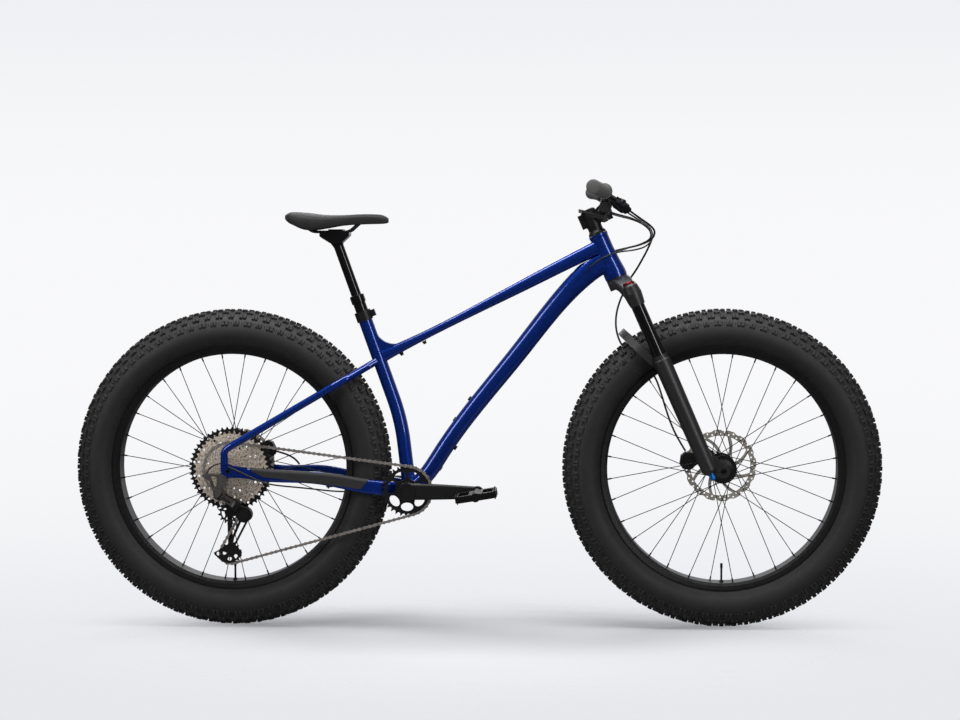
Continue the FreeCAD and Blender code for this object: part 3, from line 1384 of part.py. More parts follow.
def headset_spacers():
    bore = upper_steerer_radius + weld_gap
    low = head_tube_length + seat_gap
    cover = turned([(bore, low), (head_top_radius, low), (head_top_radius - 1, low + 5), (spacer_radius, low + 11),
                    (bore, low + 11)])
    ring = sleeve(spacer_radius, bore, Vec(0, 0, low + 11 + weld_gap), Vec(0, 0, stem_low - weld_gap))
    cap_low = stem_top + weld_gap
    cap = turned([(0, cap_low), (spacer_radius, cap_low), (spacer_radius, cap_low + 3), (spacer_radius - 3, cap_low + 5),
                  (4.5, cap_low + 5), (4.5, cap_low + 2), (0, cap_low + 2)])
    keep("headset_spacers", [placed(solid, steering) for solid in (cover, ring, cap)])


def stem():
    # A short clamp on the steerer and a face plate that closes round the bar.
    grip_half = 23.0
    hold = bar_clamp_radius + 6.0
    centre = Vec(stem_length, 0, stem_height)
    post = cylinder(upper_steerer_radius + 5, Vec(0, 0, stem_low), Vec(0, 0, stem_top))
    clamp = cylinder(hold, centre - ACROSS * grip_half, centre + ACROSS * grip_half)
    neck = box(Vec(0, -16, stem_height - 17), Vec(stem_length, 16, stem_height + 17))
    split = stem_length + 4.0
    bores = [cylinder(upper_steerer_radius + weld_gap, Vec(0, 0, stem_low - 1), Vec(0, 0, stem_top + 1)),
             cylinder(bar_clamp_radius + weld_gap, centre - ACROSS * 30, centre + ACROSS * 30),
             box(Vec(split, -30, stem_low - 10), Vec(split + 1.5, 30, stem_top + 10))]
    bolts = []
    for y in (15, -15):
        for z in (stem_height + 16.5, stem_height - 16.5):
            bolts.append(cylinder(4.0, Vec(split + 3, y, z), Vec(split + 14, y, z)))
    ear_end = -upper_steerer_radius - 15.0
    ears = box(Vec(ear_end, -9, stem_low + 2), Vec(-upper_steerer_radius, 9, stem_top - 2))
    bores.append(box(Vec(ear_end - 1, -1, stem_low - 1), Vec(0, 1, stem_top + 1)))
    ties = [cylinder(3.0, Vec(ear_end + 6, -11, z), Vec(ear_end + 6, 11, z)) for z in (stem_low + 10, stem_top - 10)]
    solids = post.fuse([clamp, neck, ears] + bolts).cut(bores).fuse(ties).Solids
    keep("stem", [placed(solid, steering) for solid in solids])


def handlebar():
    half = [bar_tip, bar_elbow, bar_shoulder, bar_knee]
    points = half + [other_side(point) for point in reversed(half)]
    outer = swept(points, bar_radius, bar_bend)[0]
    inner = swept(points, bar_radius - 2.5, bar_bend)[0]
    belly = [(0, -44), (bar_radius, -44), (bar_clamp_radius, -30), (bar_clamp_radius, 30), (bar_radius, 44), (0, 44)]
    bulge = turned(belly, ACROSS)
    keep("handlebar", moved(outer.fuse(bulge).cut(inner), bar_centre))


def grips():
    along = bar_tip - bar_elbow
    along.normalize()
    start = bar_tip - along * grip_length
    end = bar_tip + along * 3
    body = cylinder(grip_radius, start, end)
    flange = cylinder(grip_radius + 3, start, start + along * 4)
    ring = cylinder(grip_radius + 0.8, end - along * 12, end - along * 2)
    bore = cylinder(bar_radius + weld_gap, start - along, bar_tip + along * weld_gap)
    grip = body.fuse([flange, ring]).cut(bore)
    keep("grips", [moved(solid, bar_centre) for solid in both_sides(grip)])


lever_slope = math.radians(34.0)
control_out = bar_elbow - bar_shoulder
control_out.normalize()
reach = Vec(math.cos(lever_slope), 0, -math.sin(lever_slope))
lever_reach = reach - control_out * reach.dot(control_out)
lever_reach.normalize()
lever_hinge = control_out.cross(lever_reach)


def bar_point(y):
    share = (y - bar_shoulder.y) / (bar_elbow.y - bar_shoulder.y)
    return bar_centre + bar_shoulder + (bar_elbow - bar_shoulder) * share


lever_pivot = (2.0, 36.0)
lever_half_height = 4.5
lever_pin_radius = 2.5
lever_y = -214.0
lever_place = FreeCAD.Placement(bar_point(lever_y), FreeCAD.Rotation(control_out, lever_reach, lever_hinge, "XYZ"))
master_root = Vec(-10.5, 32, 0)
master_tip = Vec(-52, 66, 0)
master_run = (master_tip - master_root) * (1 / (master_tip - master_root).Length)
master_end = lever_place.multVec(master_tip + master_run * seat_gap)
master_lead = lever_place.multVec(master_tip + master_run * 28)


def brake_controls():
    # Drawn with x out along the bar, y towards the fingers; the lever turns on a pin between two cheeks.
    ring = sleeve(bar_radius + 4.5, bar_radius + weld_gap, Vec(-16, 0, 0), Vec(-4, 0, 0))
    neck = cylinder(6.5, Vec(-10, 13, 0), Vec(-10, 30, 0))
    barrel = cylinder(7.5, master_root, master_tip)
    tank = cylinder(11.0, master_root + master_run * 8, master_root + master_run * 40)
    cheek = lever_half_height + seat_gap
    cheeks = [box(Vec(-16, 28, cheek), Vec(9, 43, cheek + 3.5)), box(Vec(-16, 28, -cheek - 3.5), Vec(9, 43, -cheek))]
    x, y = lever_pivot
    pin = cylinder(lever_pin_radius, Vec(x, y, -cheek - 1), Vec(x, y, cheek + 1))
    master = ring.fuse([neck, barrel, tank, pin] + cheeks)
    outline = [(-4, -6), (-6, 3), (4, 12), (24, 20), (60, 19), (95, 17), (118, 22), (122, 15), (98, 9), (60, 10),
               (26, 11), (13, 4), (6, -5)]
    points = [Vec(x + u, y + v, -lever_half_height) for u, v in outline]
    blade = Part.Face(Part.makePolygon(points + points[:1])).extrude(UP * 2 * lever_half_height)
    bore = cylinder(lever_pin_radius + running_gap, Vec(x, y, -10), Vec(x, y, 10))
    right_lever = placed(blade.cut(bore), lever_place)
    keep("brake_masters", both_sides(placed(master, lever_place)))
    keep("right_brake_lever", right_lever)
    keep("left_brake_lever", mirrored(right_lever))


pod_y = -188.0
pod_half_width = 16.0
thumb_slope = math.radians(14.0)
thumb_back = Vec(-math.cos(thumb_slope), 0, math.sin(thumb_slope))
thumb_axis = Vec(math.sin(thumb_slope), 0, math.cos(thumb_slope))
pod_place = FreeCAD.Placement(bar_point(pod_y), FreeCAD.Rotation())
thumb_place = FreeCAD.Placement(bar_point(pod_y) + Vec(0, 0, -55),
                                FreeCAD.Rotation(thumb_back, thumb_axis.cross(thumb_back), thumb_axis, "XYZ"))
thumb_pin_radius = 3.0
paddle_half = 2.5


def paddle(outline, low):
    points = [Vec(x, y, low) for x, y in outline]
    plate = Part.Face(Part.makePolygon(points + points[:1])).extrude(UP * 2 * paddle_half)
    boss = cylinder(7.0, Vec(0, 0, low), Vec(0, 0, low + 2 * paddle_half))
    bore = cylinder(thumb_pin_radius + running_gap, Vec(0, 0, low - 1), Vec(0, 0, low + 2 * paddle_half + 1))
    return placed(plate.fuse(boss).cut(bore), thumb_place)


def thumb_controls():
    # Pods under the bar with thumb paddles on a leaning pin: the shifter right, the post remote left.
    outline = [(-14, -22), (12, -20), (15, -30), (10, -43), (-10, -44), (-16, -34)]
    pod = slab(outline, -pod_half_width, pod_half_width)
    neck = box(Vec(-5, -5, -24), Vec(5, 5, -12))
    ring = sleeve(bar_radius + 4, bar_radius + weld_gap, control_out * -5, control_out * 5)
    low = -3 * paddle_half - 2 * seat_gap
    pin = cylinder(thumb_pin_radius, Vec(0, 0, low - 2.5), Vec(0, 0, 20))
    head = cylinder(5.0, Vec(0, 0, low - seat_gap - 2.5), Vec(0, 0, low - seat_gap))
    carrier = placed(pod.fuse([neck, ring]), pod_place)
    body = carrier.fuse([placed(pin, thumb_place), placed(head, thumb_place)])
    long_arm = [(-3, 6), (34, 9), (58, 14), (66, 10), (67, 0), (58, -6), (34, -4), (-3, -6)]
    short_arm = [(-3, 6), (20, 7), (40, 3), (46, -4), (40, -12), (28, -13), (12, -8), (-3, -6)]
    thumb = paddle(long_arm, -paddle_half)
    keep("shifter_body", both_sides(body))
    keep("thumb_lever", thumb)
    keep("release_lever", paddle(short_arm, low))
    keep("dropper_lever", mirrored(thumb))


# Seat

post_head = seat_frame.multVec(Vec(0, 0, post_rise))


def seat_post():
    clamp = sleeve(seat_tube_radius + 3.3, seat_tube_radius + weld_gap, ORIGIN, Vec(0, 0, clamp_height))
    lug = box(Vec(seat_tube_radius + 1, -8, 4), Vec(30, 8, clamp_height - 4))
    slit = box(Vec(10, -1, -1), Vec(40, 1, clamp_height + 1))
    bolt = cylinder(2.5, Vec(25, -11, clamp_height / 2), Vec(25, 11, clamp_height / 2))
    head = cylinder(4.0, Vec(25, -12, clamp_height / 2), Vec(25, -8, clamp_height / 2))
    keep("seat_clamp", placed(clamp.fuse(lug).cut(slit).fuse([bolt, head]), seat_frame))
    bore = post_inner_radius + running_gap
    outer = turned([(bore, -post_insertion), (post_radius, -post_insertion), (post_radius, collar_height),
                    (collar_radius, collar_height + 2), (collar_radius, collar_height + 20),
                    (collar_radius - 3, collar_height + 22), (bore, collar_height + 22)])
    keep("seatpost_outer", placed(outer, seat_frame))
    shaft = cylinder(post_inner_radius, Vec(0, 0, -50), Vec(0, 0, post_rise))
    shaft = placed(shaft, seat_frame)
    neck = turned([(0, post_rise - 16), (post_inner_radius, post_rise - 16), (post_inner_radius + 5, post_rise),
                   (0, post_rise)])
    knuckle = placed(neck, seat_frame)
    half = rail_spacing + 5
    side = [(-40, 10), (-33, 5), (-14, -7), (14, -7), (28, 6), (34, 12), (34, rail_rise - 1), (-40, rail_rise - 1)]
    cradle = slab([(post_head.x + x, post_head.z + z) for x, z in side], -half, half)
    cover = box(post_head + Vec(-18, -half, rail_rise + 1), post_head + Vec(18, half, rail_rise + 6.5))
    tie = cylinder(5.0, post_head, post_head + UP * (rail_rise + 3))
    room = [rail(side, rail_radius + weld_gap) for side in (1, -1)]
    keep("seatpost_inner", shaft.fuse([knuckle, cradle, cover, tie]).cut(room))


def rail(side, radius):
    level = post_head.z + rail_rise
    points = [Vec(-434, side * 40, 1005), Vec(-405, side * (rail_spacing + 2), level),
              Vec(-315, side * rail_spacing, level), Vec(-284, side * 14, 1010)]
    return swept(points, radius, 25.0)[0]


def saddle_section(x, half_width, top, edge, wing, low):
    def at(y, z):
        return Vec(x, y, z)

    w = half_width
    tip = 0.9 * w
    middle = (edge + wing) / 2
    edges = [Part.Arc(at(-w, edge), at(0, top), at(w, edge)), Part.Arc(at(w, edge), at(0.985 * w, middle), at(tip, wing)),
             Part.Arc(at(tip, wing), at(0, low), at(-tip, wing)),
             Part.Arc(at(-tip, wing), at(-0.985 * w, middle), at(-w, edge))]
    return Part.Wire([edge_curve.toShape() for edge_curve in edges])


def seat():
    keep("saddle_rails", [rail(1, rail_radius), rail(-1, rail_radius)])
    # Position, half width, then the heights of the top, its edge, the wing's lower edge and the underside.
    line = [(-472, 40, 1026, 1023, 1014, 1017), (-453, 62, 1033, 1024, 1001, 1010), (-417, 73, 1031, 1019, 987, 1008),
            (-377, 58, 1026, 1016, 991, 1007), (-332, 34, 1025, 1018, 998, 1007), (-282, 23, 1027, 1020, 1001, 1007),
            (-242, 19, 1026, 1019, 1002, 1007), (-219, 12, 1017, 1013, 1005, 1008)]
    form = smooth_loft([saddle_section(*station) for station in line])
    room = [rail(side, rail_radius + weld_gap) for side in (1, -1)]
    keep("saddle", form.cut(room))


# Hoses and cables

def cables():
    left_start = other_side(master_end)
    pod_face = bar_point(pod_y) + Vec(2, pod_half_width + 2 * seat_gap, -36)
    pod_left = other_side(pod_face)
    stay_end = Vec(-456, 88.5, 393.9)
    rear_hose = [master_end, master_lead, Vec(411, -105, 1008), Vec(430, -76, 995), Vec(441, -50, 981),
                 Vec(434, -29, 963), Vec(408, -16, 950), Vec(376, -10, 942.5), Vec(343.9, -8, 934.8)]
    shift_line = [pod_face, Vec(324, -147, 1031.5), Vec(338, -134, 1026), Vec(360, -124, 1020), Vec(384, -114, 1014),
                  Vec(411, -95, 999), Vec(429, -74, 983), Vec(430, -49, 964), Vec(407, -28, 951),
                  Vec(375, -17, 942), Vec(343, -13.4, 931.2)]
    post_line = [pod_left, Vec(324, 147, 1031.5), Vec(338, 133, 1026), Vec(360, 122, 1019.5), Vec(384, 109, 1014),
                 Vec(413, 84, 1002), Vec(433, 54, 984), Vec(436, 20, 963), Vec(420, -12, 945), Vec(390, -34, 936),
                 Vec(352, -43, 933), Vec(316, -41, 920), Vec(294, -36, 906), port_mouth + port_run * seat_gap]
    hanger_loop = [Vec(-626.9, -107, 415), Vec(-636, -110, 413), Vec(-647, -113, 407.5),
                   cable_entry + cable_entry_run * 2 * seat_gap]
    stay_line = [Vec(-606, -112.5, 407), Vec(-585, -113.5, 398), Vec(-560, -112.5, 386), Vec(-535, -109, 374),
                 Vec(-512, -102, 364), Vec(-480, -95, 358.5), Vec(-437, -87.5, 354), Vec(-390, -82, 348.5),
                 Vec(-345, -77.5, 343), Vec(-312, -75.5, 342.8)]
    tail = [Vec(-513.7, 89, 426.3), Vec(-496, 90, 421.6), Vec(-476, 90.8, 413), Vec(-462, 90, 402.5), stay_end]
    keep("control_cables", [cord("rear brake hose", rear_hose, hose_radius),
                            cord("shift housing", shift_line, housing_radius),
                            cord("post housing", post_line, housing_radius),
                            cord("derailleur loop", hanger_loop, housing_radius),
                            cord("stay housing", stay_line, housing_radius),
                            cord("rear hose tail", tail, hose_radius)])
    over = [left_start, other_side(master_lead), Vec(411, 112, 1008), Vec(432, 94, 993), Vec(440, 88, 971),
            Vec(429, 94, 943), Vec(413, 102, 912), Vec(397, 109, 884)]
    local = [(31, 115, -20), (14, 118, -38), (-8, 114, -54), (-30, 103, -78), (-46, 88, -104), (-55, 70, -132),
             (-56, 61, -162), (-46, 72, -196), (-24, 89, -228), (-9, 93, -268), (-12, 88, -312), (-18, 82, -360),
             (-21, 76, -405), (-19, 70, -440), (-14.3, 65, -471.6)]
    down = [steering.multVec(Vec(*point)) for point in local]
    keep("front_brake_hose", cord("front brake hose", over + down, hose_radius))


sections = (wheels, drivetrain, head_tube, bearings, main_tubes, rear_stays, rear_wheel_axle, front_wheel_axle,
            rear_caliper, fork_crown, stanchions, fork_lowers, front_caliper, fork_knobs, headset_spacers, stem,
            handlebar, grips, brake_controls, thumb_controls, seat_post, seat, cables)

for build_section in sections:
    build_section()
os.makedirs("parts", exist_ok=True)
for node, solids in parts.items():
    Part.makeCompound(solids).exportStep("parts/" + node + ".step")
print("nodes", len(parts))
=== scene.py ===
import bpy
import math
from mathutils import Matrix, Vector


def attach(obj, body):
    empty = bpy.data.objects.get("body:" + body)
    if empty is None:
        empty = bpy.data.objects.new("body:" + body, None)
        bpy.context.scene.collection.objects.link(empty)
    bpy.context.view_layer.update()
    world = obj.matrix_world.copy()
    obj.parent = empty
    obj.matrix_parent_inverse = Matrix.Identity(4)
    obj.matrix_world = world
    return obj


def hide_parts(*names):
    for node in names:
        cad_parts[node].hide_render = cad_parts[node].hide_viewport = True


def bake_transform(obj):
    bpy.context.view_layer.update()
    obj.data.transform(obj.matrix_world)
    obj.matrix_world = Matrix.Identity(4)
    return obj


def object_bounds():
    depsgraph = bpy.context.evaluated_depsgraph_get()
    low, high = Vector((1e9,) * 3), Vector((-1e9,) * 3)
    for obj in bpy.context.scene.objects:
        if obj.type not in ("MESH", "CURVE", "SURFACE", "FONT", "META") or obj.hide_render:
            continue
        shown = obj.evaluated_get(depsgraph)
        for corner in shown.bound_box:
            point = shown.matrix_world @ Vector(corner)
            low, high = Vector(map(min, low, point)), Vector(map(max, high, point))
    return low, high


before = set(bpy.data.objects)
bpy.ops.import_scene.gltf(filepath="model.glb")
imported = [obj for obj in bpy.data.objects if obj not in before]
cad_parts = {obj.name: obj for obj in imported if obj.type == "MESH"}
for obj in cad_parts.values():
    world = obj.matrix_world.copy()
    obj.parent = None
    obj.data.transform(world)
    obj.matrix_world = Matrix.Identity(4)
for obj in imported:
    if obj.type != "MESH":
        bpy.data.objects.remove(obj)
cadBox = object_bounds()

print("frame loaded:", len(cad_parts), "nodes")

# camera where the photograph was taken, in metres
view = {"place": (0.2589, -5.5744, 0.9733), "target": (0.0081, 0.0, 0.6639), "roll": -0.002,
        "focalPixels": 2247.4, "imageWidth": 960, "sensor": 36.0}


def aimCamera():
    camera = bpy.data.objects.new("camera", bpy.data.cameras.new("camera"))
    bpy.context.scene.collection.objects.link(camera)
    ahead = (Vector(view["target"]) - Vector(view["place"])).normalized()
    right = ahead.cross(Vector((0, 0, 1))).normalized()
    up = right.cross(ahead)
    c, s = math.cos(view["roll"]), math.sin(view["roll"])
    tilted = right * c + up * s, up * c - right * s
    turn = Matrix((tilted[0], tilted[1], -ahead)).transposed()
    camera.matrix_world = Matrix.Translation(view["place"]) @ turn.to_4x4()
    camera.data.sensor_width = view["sensor"]
    camera.data.lens = view["focalPixels"] * view["sensor"] / view["imageWidth"]
    bpy.context.scene.camera = camera


aimCamera()
print("camera set")


class Tap:
    # a socket of a node tree, so that shader sums read as sums
    def __init__(self, tree, socket=None):
        self.tree = tree
        self.socket = socket

    def node(self, kind, settings={}, inputs={}, out=0):
        made = self.tree.nodes.new("ShaderNode" + kind)
        for name, value in settings.items():
            if name == "stops":
                ramp = made.color_ramp.elements
                for spare in range(len(value) - 2):
                    ramp.new(0.5)
                for stop, (place, colour) in zip(ramp, value):
                    stop.position = place
                    stop.color = colour
            else:
                setattr(made, name, value)
        for name, value in inputs.items():
            if isinstance(value, Tap):
                self.tree.links.new(value.socket, made.inputs[name])
            else:
                made.inputs[name].default_value = value
        return Tap(self.tree, made.outputs[out])

    def sum(self, how, first, second):
        return self.node("Math", {"operation": how}, {0: first, 1: second})

    def ramp(self, value, low, high, how="LINEAR"):
        # 0 at the low value, 1 at the high one
        return self.node("MapRange", {"interpolation_type": how}, {"Value": value, "From Min": low, "From Max": high})

    def ease(self, value, low, high):
        return self.ramp(value, low, high, "SMOOTHSTEP")

    def mix(self, share, first, second):
        ends = [end if isinstance(end, Tap) else (*end, 1.0) for end in (first, second)]
        return self.node("Mix", {"data_type": "RGBA"}, {0: share, 6: ends[0], 7: ends[1]}, out=2)

    def __add__(self, other):
        return self.sum("ADD", self, other)

    def __mul__(self, other):
        return self.sum("MULTIPLY", self, other)

    def __gt__(self, other):
        return self.sum("GREATER_THAN", self, other)

    def __lt__(self, other):
        return self.sum("LESS_THAN", self, other)


class Finish:
    # a material with its shader; constants sit on the shader's own sockets
    def __init__(self, name, **constants):
        self.material = bpy.data.materials.new(name)
        self.material.use_nodes = True
        self.tree = self.material.node_tree
        self.shader = self.tree.nodes["Principled BSDF"]
        for socket, value in constants.items():
            self.shader.inputs[socket.replace("_", " ")].default_value = value
        self.tap = Tap(self.tree)
        self.spot = self.tap.node("TexCoord", out="Object")

    def feed(self, **links):
        for socket, tap in links.items():
            self.tree.links.new(tap.socket, self.shader.inputs[socket.replace("_", " ")])
        return self

    def noise(self, scale, detail=2.0, rough=0.5, spot=None):
        inputs = {"Vector": spot or self.spot, "Scale": scale, "Detail": detail, "Roughness": rough}
        return self.tap.node("TexNoise", {}, inputs)

    def cells(self, scale):
        colour = self.tap.node("TexVoronoi", {}, {"Vector": self.spot, "Scale": scale}, out="Color")
        return self.tap.node("SeparateXYZ", {}, {0: colour}, out="X")

    def dots(self, scale):
        return self.tap.node("TexVoronoi", {}, {"Vector": self.spot, "Scale": scale}, out="Distance")

    def spread(self, value, low, high):
        return self.tap.node("MapRange", {}, {"Value": value, "To Min": low, "To Max": high})

    def colours(self, value, *stops):
        full = [(place, (*colour, 1.0)) for place, colour in stops]
        return self.tap.node("ValToRGB", {"stops": full}, {0: value})

    def mix(self, share, first, second):
        return self.tap.mix(share, first, second)

    def bump(self, height, depth, strength=1.0):
        # depth in millimetres
        inputs = {"Height": height, "Distance": depth / 1000.0, "Strength": strength}
        self.feed(Normal=self.tap.node("Bump", {}, inputs))
        return self

    def fromAxis(self, centre):
        # distance from a wheel's axle line, and the angle round it
        offset = self.tap.node("VectorMath", {"operation": "SUBTRACT"}, {0: self.spot, 1: centre})
        x = self.tap.node("SeparateXYZ", {}, {0: offset}, out="X")
        z = self.tap.node("SeparateXYZ", {}, {0: offset}, out="Z")
        radius = self.tap.node("Math", {"operation": "SQRT"}, {0: x * x + z * z})
        return radius, self.tap.sum("ARCTAN2", z, x)


# axles of the two wheels, in metres
wheelCentre = {"front": (0.608, 0.0, 0.396), "rear": (-0.608, 0.0, 0.396)}


# blue clear-coated paint with fine flakes; its colour blends a shaded and a lit copy of the blue in soft clouds,
# painted shade and painted light
paint = {"shadedBlue": (0.0004, 0.004, 0.05), "lit": (0.0006, 0.02, 0.2), "flake": (0.004, 0.08, 0.5),
         "flakesPerMetre": 1500.0, "flakesFrom": 0.82}


def bluePaint():
    f = Finish("bluePaint", Metallic=0.6, Specular_IOR_Level=0.05, Coat_Weight=1.0, Coat_Roughness=0.07,
               Coat_IOR=1.45)
    shadeCloud = f.noise(9.0, 2.0)
    grain = f.cells(paint["flakesPerMetre"])
    # painted shade and painted light: soft clouds of the shaded and the lit copy of the blue
    body = f.mix(f.spread(shadeCloud, 0.35, 0.95), paint["shadedBlue"], paint["lit"])
    f.feed(Base_Color=f.mix((grain > paint["flakesFrom"]) * 0.5, body, paint["flake"]))
    f.feed(Roughness=f.spread(f.noise(420.0), 0.3, 0.4))
    return f.bump(f.noise(160.0, 1.0), 0.02, 0.05).material


# matt rubber of the tires, with the radii of its zones in metres and the pace of
# its fine relief; the piece is centred on its axle
rubber = {"dark": (0.0042, 0.0041, 0.0042), "pale": (0.0115, 0.011, 0.011), "dust": (0.021, 0.0198, 0.019),
          "tread": (0.352, 0.372), "bead": (0.322, 0.314), "ribs": (0.346, 0.3535), "threadRadians": 5200.0,
          "ribsPerTurn": 720.0}


def tireRubber():
    f = Finish("tireRubber", Specular_IOR_Level=0.45)
    radius, angle = f.fromAxis((0, 0, 0))
    blotch = f.noise(26.0, 4.0, 0.6)
    bloom = f.mix(blotch, rubber["dark"], rubber["pale"])
    onTread = f.tap.ramp(radius, *rubber["tread"])
    f.feed(Base_Color=f.mix(onTread * f.noise(90.0, 3.0) * 0.7, bloom, rubber["dust"]))
    f.feed(Roughness=f.spread(f.noise(60.0, 3.0), 0.52, 0.78))
    thread = f.tap.sum("SINE", radius * rubber["threadRadians"], 0.0)
    nearBead = f.tap.ramp(radius, *rubber["bead"])
    ribs = f.tap.sum("SINE", angle * rubber["ribsPerTurn"], 0.0)
    nearTread = (radius > rubber["ribs"][0]) * (radius < rubber["ribs"][1])
    height = thread * nearBead * 0.5 + ribs * nearTread * 0.35 + f.noise(1500.0, 2.0) * 0.45
    return f.bump(height, 0.35, 0.8).material


# satin black of rims, cranks, stem and small parts
def blackAlloy(name, base, rough, metal):
    f = Finish(name, Metallic=metal, Specular_IOR_Level=0.5)
    pale = tuple(1.7 * c for c in base)
    f.feed(Base_Color=f.mix(f.noise(35.0, 4.0, 0.6), base, pale))
    f.feed(Roughness=f.spread(f.noise(70.0, 4.0, 0.65), rough - 0.08, rough + 0.1))
    return f.bump(f.noise(900.0, 2.0), 0.05, 0.35).material


# powder-coated fork parts
def mattPaint(name, base, rough):
    f = Finish(name, Coat_Weight=0.12, Coat_Roughness=0.3)
    pale = tuple(1.5 * c for c in base)
    f.feed(Base_Color=f.mix(f.noise(18.0, 3.0), base, pale))
    f.feed(Roughness=f.spread(f.noise(40.0, 3.0), rough - 0.05, rough + 0.07))
    return f.bump(f.noise(1900.0, 1.0), 0.06, 0.5).material


# hard glossy black of the sliding tubes
def glossBlack(name):
    f = Finish(name, Coat_Weight=0.45, Coat_Roughness=0.03, Specular_IOR_Level=0.2)
    f.feed(Base_Color=f.mix(f.noise(50.0), (0.002, 0.002, 0.0022), (0.004, 0.004, 0.0045)))
    f.feed(Roughness=f.spread(f.noise(120.0, 3.0), 0.1, 0.2))
    return f.material


# metal with turned rings round an axle; the pockets are painted shade, dark patches on the ramps pressed into a cog's
# side where these recesses lie in shade
def turnedMetal(name, centre, base, tint, rough, pocketShade=0.0):
    f = Finish(name, Metallic=0.6)
    radius, angle = f.fromAxis(centre)
    rings = f.noise(2.6, 2.0, 0.6, f.tap.node("CombineXYZ", {}, {0: radius * 900.0, 1: angle * 0.6}))
    metal = f.mix(rings, base, tint)
    if pocketShade:
        # painted shade: dark patches where the pressed ramps lie in shade
        shadedPocket = f.noise(1.0, 1.0, 0.5, f.tap.node("CombineXYZ", {}, {0: radius * 330.0, 1: angle * 9.0}))
        metal = f.mix((shadedPocket > 0.56) * pocketShade, metal, tuple(0.16 * c for c in base))
    f.feed(Base_Color=metal)
    f.feed(Roughness=f.spread(rings, rough - 0.08, rough + 0.12))
    return f.bump(rings, 0.03, 0.5).material


# plain steel with a little oil and scuffing
def scuffedSteel(name, base, rough, metal=1.0):
    f = Finish(name, Metallic=metal)
    oil = f.noise(140.0, 4.0, 0.7)
    dark = tuple(0.45 * c for c in base)
    f.feed(Base_Color=f.colours(oil, (0.3, dark), (0.62, base)))
    f.feed(Roughness=f.spread(f.noise(260.0, 3.0), rough - 0.1, rough + 0.15))
    return f.bump(f.noise(1200.0, 2.0), 0.03, 0.4).material


# moulded rubber and plastic
def moulded(name, base, rough, grain, depth):
    f = Finish(name, Specular_IOR_Level=0.4)
    pale = tuple(1.6 * c for c in base)
    f.feed(Base_Color=f.mix(f.noise(30.0, 4.0), base, pale))
    f.feed(Roughness=f.spread(f.noise(80.0, 3.0), rough - 0.08, rough + 0.08))
    return f.bump(f.noise(grain, 3.0, 0.6), depth, 0.6).material


# anodised colour of the two dials
def anodised(name, base):
    f = Finish(name, Metallic=0.85)
    dark = tuple(0.6 * c for c in base)
    f.feed(Base_Color=f.mix(f.noise(200.0, 3.0), dark, base))
    f.feed(Roughness=f.spread(f.noise(300.0), 0.25, 0.4))
    return f.bump(f.noise(1500.0), 0.03, 0.3).material


# fine-grained cover of the saddle
def saddleCover():
    f = Finish("saddleCover", Sheen_Weight=0.04, Sheen_Roughness=0.5, Specular_IOR_Level=0.3)
    f.feed(Base_Color=f.mix(f.noise(24.0, 4.0), (0.007, 0.0068, 0.0068), (0.013, 0.0126, 0.0124)))
    f.feed(Roughness=f.spread(f.noise(60.0, 3.0), 0.5, 0.66))
    grain = f.dots(1100.0) * 0.6 + f.noise(600.0, 3.0) * 0.4
    return f.bump(grain, 0.16, 0.7).material


finishes = {
    "bluePaint": bluePaint(),
    "tireRubber": tireRubber(),
    "rimBlack": blackAlloy("rimBlack", (0.005, 0.005, 0.0053), 0.34, 0.35),
    "spokeBlack": blackAlloy("spokeBlack", (0.008, 0.008, 0.0084), 0.38, 0.6),
    "alloyBlack": blackAlloy("alloyBlack", (0.0065, 0.0063, 0.0063), 0.38, 0.45),
    "crankBlack": blackAlloy("crankBlack", (0.0068, 0.0061, 0.006), 0.42, 0.4),
    "pedalGrey": scuffedSteel("pedalGrey", (0.017, 0.016, 0.016), 0.44, 0.8),
    "linkGrey": scuffedSteel("linkGrey", (0.15, 0.138, 0.13), 0.36, 0.75),
    "lowersBlack": mattPaint("lowersBlack", (0.0072, 0.007, 0.0072), 0.44),
    "crownGrey": mattPaint("crownGrey", (0.0085, 0.0083, 0.0087), 0.4),
    "tubeGloss": glossBlack("tubeGloss"),
    "frontDisc": turnedMetal("frontDisc", wheelCentre["front"], (0.4, 0.36, 0.31), (0.62, 0.58, 0.53), 0.3),
    "rearDisc": turnedMetal("rearDisc", wheelCentre["rear"], (0.4, 0.36, 0.31), (0.62, 0.58, 0.53), 0.3),
    "cogNickel": turnedMetal("cogNickel", wheelCentre["rear"], (0.72, 0.6, 0.48), (0.98, 0.88, 0.76), 0.3,
                             pocketShade=0.65),
    "cogBlack": blackAlloy("cogBlack", (0.009, 0.009, 0.009), 0.4, 0.5),
    "chainSteel": scuffedSteel("chainSteel", (0.4, 0.36, 0.33), 0.36, 0.7),
    "guardGrey": moulded("guardGrey", (0.0115, 0.0115, 0.0122), 0.6, 700.0, 0.1),
    "gripRubber": moulded("gripRubber", (0.055, 0.0535, 0.052), 0.7, 900.0, 0.12),
    "hoseBlack": moulded("hoseBlack", (0.0085, 0.0085, 0.009), 0.36, 1600.0, 0.03),
    "blackPlastic": moulded("blackPlastic", (0.0105, 0.0105, 0.011), 0.45, 1300.0, 0.06),
    "redDial": anodised("redDial", (0.15, 0.005, 0.006)),
    "blueDial": anodised("blueDial", (0.02, 0.2, 0.6)),
    "saddleCover": saddleCover(),
}
print("finishes made:", len(finishes))

